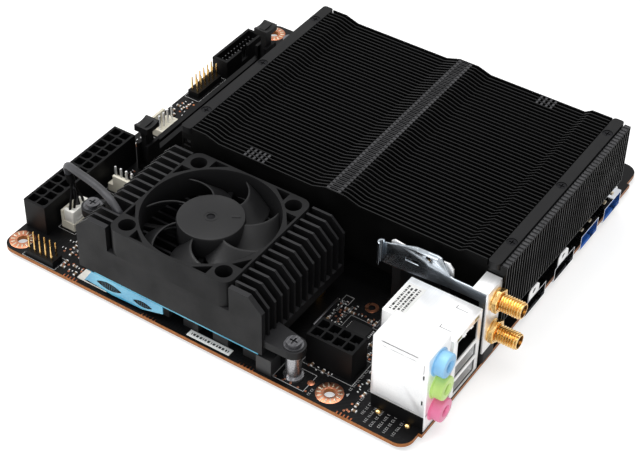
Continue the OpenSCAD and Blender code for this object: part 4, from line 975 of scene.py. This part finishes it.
def make_chips():
    """Leaded chips: a resin body with a bevelled rim, a pin-one dot and rows of legs."""
    top = BOARD_TOP
    places = [(-35, -77, 7, 7, 1.0), (-55, -49, 9, 9, 1.2), (-32, 49, 6, 8, 1.4), (69, 25, 10, 10, 1.2),
              (71, 49, 5, 6, 1.6), (68, -25, 8, 8, 1.1), (-57.5, 57, 5, 4, 1.2)]
    leg_pitch = 0.8
    bodies, legs, dots = [], [], []
    for x, y, w, d, h in places:
        bodies.append(block("chip", (x + 0.5, y + 0.5, top + 0.1), (x + w - 0.5, y + d - 0.5, top + h),
                            0.12, 1))
        dots.append(turned("dot", [(0, 0.0), (0.35, 0.0), (0.35, 0.03), (0, 0.03)],
                           (x + 1.3, y + 1.3, top + h), sides=16))
        leg = block("leg", (x + 0.85, y - 0.15, top), (x + 1.15, y + 0.75, top + 0.3), 0.05, 1)
        along = range(int((w - 1.4) / leg_pitch) + 1)
        legs += repeat(leg, [(i * leg_pitch, j * (d - 0.6), 0) for i in along for j in range(2)])
        drop(leg)
        leg = block("leg", (x - 0.15, y + 0.85, top), (x + 0.75, y + 1.15, top + 0.3), 0.05, 1)
        along = range(int((d - 1.4) / leg_pitch) + 1)
        legs += repeat(leg, [(j * (w - 0.6), i * leg_pitch, 0) for i in along for j in range(2)])
        drop(leg)
    fit(weld("chip_bodies", bodies), "chip", "board_chips")
    fit(weld("chip_legs", legs), "tin")
    fit(weld("chip_dots", dots), "print")


def outline_strokes(x0, y0, x1, y1):
    w = 0.18
    return [(x0, y0, x1, y0 + w), (x0, y1 - w, x1, y1), (x0, y0, x0 + w, y1), (x1 - w, y0, x1, y1)]


def make_print():
    """White printing on the board: part outlines and rows of blank marks."""
    strokes = []
    for box in ((-72.2, -56.4, -59.4, -36.2), (-66.2, 66.4, -54.0, 74.2), (-40.6, 61.4, -32.4, 73.6),
                (-5.2, 73.3, 7.2, 81.4), (-84.8, 60.2, -78.2, 75.2), (-40.9, -34.6, -36.6, -31.2),
                (-45.4, -55.6, -37.6, -47.4), (22.8, 77.4, 41.2, 84.6), (66.2, 22.4, 81.6, 37.4),
                (66.0, -27.4, 78.6, -14.6), (-58, -51, -44, -38), (-83.2, -44.5, -74.6, -32.2)):
        strokes += outline_strokes(*box)
    rng = random.Random(7)
    rows = [(-71, -34.6, 3), (-83.5, -47.0, 2), (-74, -57.2, 5), (-60, -36.2, 4), (-50, -33.0, 4),
            (-78, -62.5, 4), (-80.5, -66, 3), (-83, -68.5, 4), (-83.5, -71, 4), (-82.5, -73.5, 3),
            (-83.4, -76, 4), (-83, -79, 4), (-57, -57.2, 6), (-46, -36.8, 3), (-75, 52.3, 4),
            (-74, 60.2, 4), (-52, 64.2, 5), (-50, 52.4, 5),
            (-30, 62.4, 6), (0, 62.2, 6), (28, 62.3, 6), (-14, 72.6, 4), (12, 73, 4), (64.5, 67.8, 5),
            (64.5, 39, 5), (64.5, 14.5, 5), (64.5, -35.2, 5), (64.5, -50.5, 5), (64.4, -69, 5), (-20, 47, 6),
            (20, 47.4, 6)]
    for x, y, count in rows:
        for _ in range(count):
            for _ in range(rng.choice((2, 3, 4))):
                w = rng.uniform(0.25, 0.6)
                strokes.append((x, y, x + w, y + 0.14))
                if rng.random() < 0.7:
                    strokes.append((x, y + 0.75, x + w, y + 0.89))
                strokes.append((x, y, x + 0.13, y + 0.89))
                x += w + 0.3
            x += 0.5
    for x, y in ((-76.8, -57.6), (-67.5, -59.6), (-72.9, -47.5)):
        strokes += [(x, y, x + 1.4, y + 0.22), (x + 0.3, y + 0.3, x + 1.1, y + 0.5),
                    (x + 0.55, y + 0.6, x + 0.85, y + 0.8)]
    mark = block("mark", (0, 0, BOARD_TOP - 0.02), (1, 1, BOARD_TOP + 0.03), 0)
    made = [copy_of(mark, shift(x0, y0) @ Matrix.Diagonal((x1 - x0, y1 - y0, 1, 1)))
            for x0, y0, x1, y1 in strokes]
    drop(mark)
    fit(weld("board_print", made), "print")


def make_vias():
    """Small plated holes and test pads."""
    rng = random.Random(23)
    pad = turned("pad", [(0.16, 0), (0.42, 0), (0.42, 0.04), (0.3, 0.06), (0.16, 0.04)],
                 (0, 0, BOARD_TOP - 0.01), sides=10)
    made = []
    for x0, y0, x1, y1, count in ZONES:
        for _ in range(count // 2 + 2):
            x, y = rng.uniform(x0, x1), rng.uniform(y0, y1)
            if not any(a - 0.5 < x < c + 0.5 and b - 0.5 < y < d + 0.5 for a, b, c, d in KEEP_OUT):
                made += repeat(pad, [(x, y, 0)])
    made += repeat(pad, [(-82.5, y, 0) for y in range(-60, -30, 3) if abs(y + 52) > 6])
    drop(pad)
    made.append(turned("spot", [(0, 0), (1.25, 0), (1.25, 0.1), (1.0, 0.16), (0, 0.16)],
                       (-78.5, -44.5, BOARD_TOP), sides=28))
    made.append(turned("spot", [(1.3, 0), (2.5, 0), (2.4, 0.14), (1.3, 0.14)], (-37.1, -42, BOARD_TOP),
                       sides=28))
    fit(weld("board_pads", made), "copper")


def make_board_label():
    label = block("board_label", (-83.9, -14.9, BOARD_TOP - 0.01), (-80.9, 2.8, BOARD_TOP + 0.08), 0.02)
    fit(label, "paper")
    rng = random.Random(3)
    bars = []
    y = -13.9
    while y < 1.6:
        w = rng.choice((0.35, 0.6, 0.9))
        bars.append(block("bar", (-82.9, y, BOARD_TOP + 0.07), (-81.9, y + w, BOARD_TOP + 0.1), 0.01, 1))
        y += w + rng.choice((0.4, 0.55))
    fit(weld("board_label_bars", bars), "ink")


def make_edge_spots():
    """Copper left where the board was snapped from its panel, and a low shield strip."""
    spots = []
    for y0 in (50.2, 15.4, -25.6, -64.2):
        for i in range(5):
            x, y = -83.9 + 0.3 * (i % 2), y0 + i * 1.35
            spots.append(block("spot", (-84.98, y, BOARD_TOP - 0.1), (x, y + 0.5, BOARD_TOP + 0.06), 0.05, 1))
    fit(weld("edge_spots", spots), "pipe")
    strip = block("shield_strip", (-56.5, -31.0, BOARD_TOP - 0.01), (-40.8, -30.2, 3.2), 0.15)
    fit(strip, "grey_steel")


def make_liner_marks():
    x = span("pad_liner")[0][0]
    eyes = []
    for y0, y1, z, h in ((30.6, 41.6, 5.7, 1.6), (17.4, 25.6, 5.3, 1.25)):
        outline = [(y0 + (y1 - y0) * i / 16, z + side * h * math.sin(math.pi * i / 16) ** 0.8)
                   for side, steps in ((1, range(17)), (-1, range(15, 0, -1))) for i in steps]
        eye = plate("eye", outline, 0.07, (x - 0.06, 0, 0), "YZ")
        gaps = [block("gap", (x - 1, y0 + 2 + i * 0.8, z - h + 0.4),
                      (x + 1, y0 + 2.14 + i * 0.8, z + h - 0.5), 0) for i in range(int((y1 - y0) / 0.8) - 4)]
        cut(eye, *gaps)
        eyes.append(eye)
    fit(weld("liner_openings", eyes), "socket")
    hem = plate("liner_hem", [(50.6, 2.7), (45.9, 8.9), (43.6, 8.9), (47.4, 3.0), (37.5, 2.62), (37.5, 2.35),
                              (50.3, 2.4)], 0.07, (x - 0.06, 0, 0), "YZ")
    fit(hem, "white")


def make_underside():
    """Solder joints of the through-hole parts on the board's back."""
    joint = turned("joint", [(0, 0), (0.95, 0), (0.6, 0.35), (0.32, 1.0), (0, 1.1)], (0, 0, 0), "-Z", 12)
    spots = []
    for x, y, pitch, across, along in ((-69.4, 77, POWER_PITCH, 12, 2), (-68.3, -52.6, POWER_PITCH, 2, 4),
                                       (-83, 62.6, PIN_PITCH, 2, 5), (25.7, 80, PIN_PITCH, 6, 2),
                                       (45, 79.5, 2, 10, 2)):
        spots += [(x + pitch * i, y + pitch * j) for i in range(across) for j in range(along)]
    spots += [(x, y) for x in (-58, -44) for y in (-83, -74, -62)]
    spots += [(x, y) for x in (-74, -64) for y in (-84, -76, -68)]
    spots += [(x + 2 * i, -80) for x in (-10, 11, 32, 50) for i in range(5)]
    joints = repeat(joint, [(x, y, 0) for x, y in spots])
    drop(joint)
    fit(weld("solder_joints", joints), "solder")


# ---- fin stack dressing ----

def make_fin_tabs():
    low, high = span("fin_stack")
    x0, pitch, t = low[0], FIN_PITCH, FIN_THICKNESS
    count = int((high[0] - low[0] - t) / pitch + 0.01) + 1
    top = high[2]
    rung = block("rung", (x0 + t, -22.8, top - 0.42), (x0 + pitch, -17.1, top - 0.1), 0.1, 1)
    cut(rung, block("slot", (x0 + t + 0.35, -21.6, top - 1), (x0 + pitch - 0.35, -18.3, top + 1), 0))
    rungs = repeat(rung, [(i * pitch, 0, 0) for i in range(count - 1)])
    drop(rung)
    patch = block("rung", (x0 + t, 0, top - 2.15), (x0 + pitch, 0.9, top - 1.85), 0.08, 1)
    for first, rows in ((0, (9.0, 10.9, 12.8, 14.7, 16.6)), (count - 4, (-58.5, -56.6, -54.7, -52.8))):
        rungs += repeat(patch, [((first + i) * pitch, dy, 0) for dy in rows for i in range(3)])
    drop(patch)
    fit(weld("fin_ladder", rungs), "tab")
    comb = block("comb", (x0 + t + 0.3, low[1] + 0.1, top - 0.95),
                 (x0 + pitch, low[1] + 2.3, top - 0.6), 0.08, 1)
    teeth = repeat(comb, [(i * pitch, 0, 0) for i in range(count - 1)])
    drop(comb)
    fit(weld("fin_comb", teeth), "tab_dark")


def make_port_flanges():
    """Earthing flanges that stand above the display sockets, each with a screw hole."""
    low, high = span("display_shells")
    shell_width = 15
    made = []
    for x0 in (low[0], high[0] - shell_width):
        left, right, foot, head = x0 + 2.2, x0 + 9.6, high[2] - 0.4, high[2] + 4.6
        outline = [(left, foot), (right, foot), (right, head - 1.6), (right - 1.6, head), (left + 1.6, head),
                   (left, head - 1.6)]
        flange = plate("flange", outline, 0.45, (0, low[1] + 0.45, 0), "XZ")
        cut(flange, rod("hole", ((left + right) / 2, low[1] - 1, head - 2.2), 1.05, 3, "Y", 28))
        made.append(soften(flange, 0.1, 2))
    fit(weld("display_flanges", made), "tin")


def make_usb_springs():
    """Pairs of bright contact springs pressed into the tops of the blue sockets."""
    low, high = span("usb_shells")
    made = []
    for centre in (low[0] + 6.8, high[0] - 6.8):
        for side in (-3.1, 3.1):
            x, y = centre + side, low[1] + 2.9
            made.append(block("spring", (x - 0.8, y - 1.5, high[2] - 0.05), (x + 0.8, y + 1.5, high[2] + 0.4),
                              0.18, 2))
    fit(weld("usb_springs", made), "solder")


def make_header_pins():
    """Square pins with tapered tips."""
    foot, tip = 4.1, 10.1
    pins = []
    for across, along, x, y in ((2, 5, -82.93, 62.57), (6, 2, 25.67, 79.99)):
        pin = block("pin", (-0.32, -0.32, foot), (0.32, 0.32, tip), 0)
        for v in pin.data.vertices:
            if v.co.z > (tip - 0.1) * MM:
                v.co.x *= 0.55
                v.co.y *= 0.55
        pins += repeat(pin, [(x + i * PIN_PITCH, y + j * PIN_PITCH, 0)
                             for i in range(across) for j in range(along)])
        drop(pin)
    fit(weld("header_pins", pins), "gold", "pin_header_pins")


make_fan_frame()
make_rotor()
make_lead()
make_plug()
make_audio()
make_lan()
make_antennas()
make_bracket()
make_rings()
make_small_parts()
make_chips()
make_print()
make_vias()
make_board_label()
make_edge_spots()
make_liner_marks()
make_underside()
make_fin_tabs()
make_port_flanges()
make_usb_springs()
make_header_pins()


# ---- camera, floor and light ----

def make_camera():
    data = bpy.data.cameras.new("Camera")
    data.lens = 93.41
    data.sensor_width = 36.0
    data.clip_start, data.clip_end = 0.01, 20
    camera = bpy.data.objects.new("Camera", data)
    scene.collection.objects.link(camera)
    az, el, roll = math.radians(-57.127), math.radians(41.338), math.radians(1.262)
    back = Vector((math.sin(az) * math.cos(el), -math.cos(az) * math.cos(el), math.sin(el)))
    right = (-back).cross(Vector((0, 0, 1))).normalized()
    up = right.cross(-back)
    side = math.cos(roll) * right + math.sin(roll) * up
    over = -math.sin(roll) * right + math.cos(roll) * up
    stand_at = Vector((-0.393358, -0.250169, 0.400384))
    camera.matrix_world = Matrix((
        (side.x, over.x, back.x, stand_at.x), (side.y, over.y, back.y, stand_at.y),
        (side.z, over.z, back.z, stand_at.z), (0, 0, 0, 1)))
    scene.camera = camera


def seen_rays(tree):
    """1 for rays that look, are mirrored or pass through, and 0 for those that only light."""
    path = tree.nodes.new("ShaderNodeLightPath").outputs
    mirrored = calc(tree, "MAXIMUM", path["Is Camera Ray"], path["Is Glossy Ray"])
    return calc(tree, "MAXIMUM", mirrored, path["Is Transmission Ray"])


def make_floor():
    deselect()
    bpy.ops.mesh.primitive_plane_add(size=6, location=(0, 0, -0.00165))
    floor = settle(bpy.context.object)
    floor.name = "floor"
    m = bpy.data.materials.new("Pale floor")
    m.use_nodes = True
    tree = m.node_tree
    tree.nodes.clear()
    out = tree.nodes.new("ShaderNodeOutputMaterial")
    diffuse = tree.nodes.new("ShaderNodeBsdfDiffuse")
    diffuse.inputs["Color"].default_value = (0.62, 0.62, 0.62, 1)
    glow = tree.nodes.new("ShaderNodeEmission")
    glow.inputs["Color"].default_value = (1, 1, 1, 1)
    tree.links.new(calc(tree, "MULTIPLY", seen_rays(tree), 0.55), glow.inputs["Strength"])
    add = tree.nodes.new("ShaderNodeAddShader")
    tree.links.new(diffuse.outputs[0], add.inputs[0])
    tree.links.new(glow.outputs[0], add.inputs[1])
    tree.links.new(add.outputs[0], out.inputs["Surface"])
    floor.data.materials.append(m)


def make_light():
    world = bpy.data.worlds.new("World")
    scene.world = world
    world.use_nodes = True
    tree = world.node_tree
    back = tree.nodes["Background"]
    back.inputs["Color"].default_value = (1, 1, 1, 1)
    tree.links.new(calc(tree, "MULTIPLY_ADD", seen_rays(tree), 0.6, 0.4), back.inputs["Strength"])
    for name, spot, size, power in (
            ("Key", (-0.35, 0.75, 0.85), 0.7, 9.0),
            ("Fill", (-0.9, -0.7, 0.6), 0.8, 5.0),
            ("Top", (0.1, 0.0, 1.1), 0.9, 6.0)):
        data = bpy.data.lights.new(name, "AREA")
        data.shape = "SQUARE"
        data.size = size
        data.energy = power
        lamp = bpy.data.objects.new(name, data)
        scene.collection.objects.link(lamp)
        lamp.location = spot
        lamp.rotation_mode = "QUATERNION"
        lamp.rotation_quaternion = (-Vector(spot)).to_track_quat("-Z", "Y")


make_camera()
make_floor()
make_light()
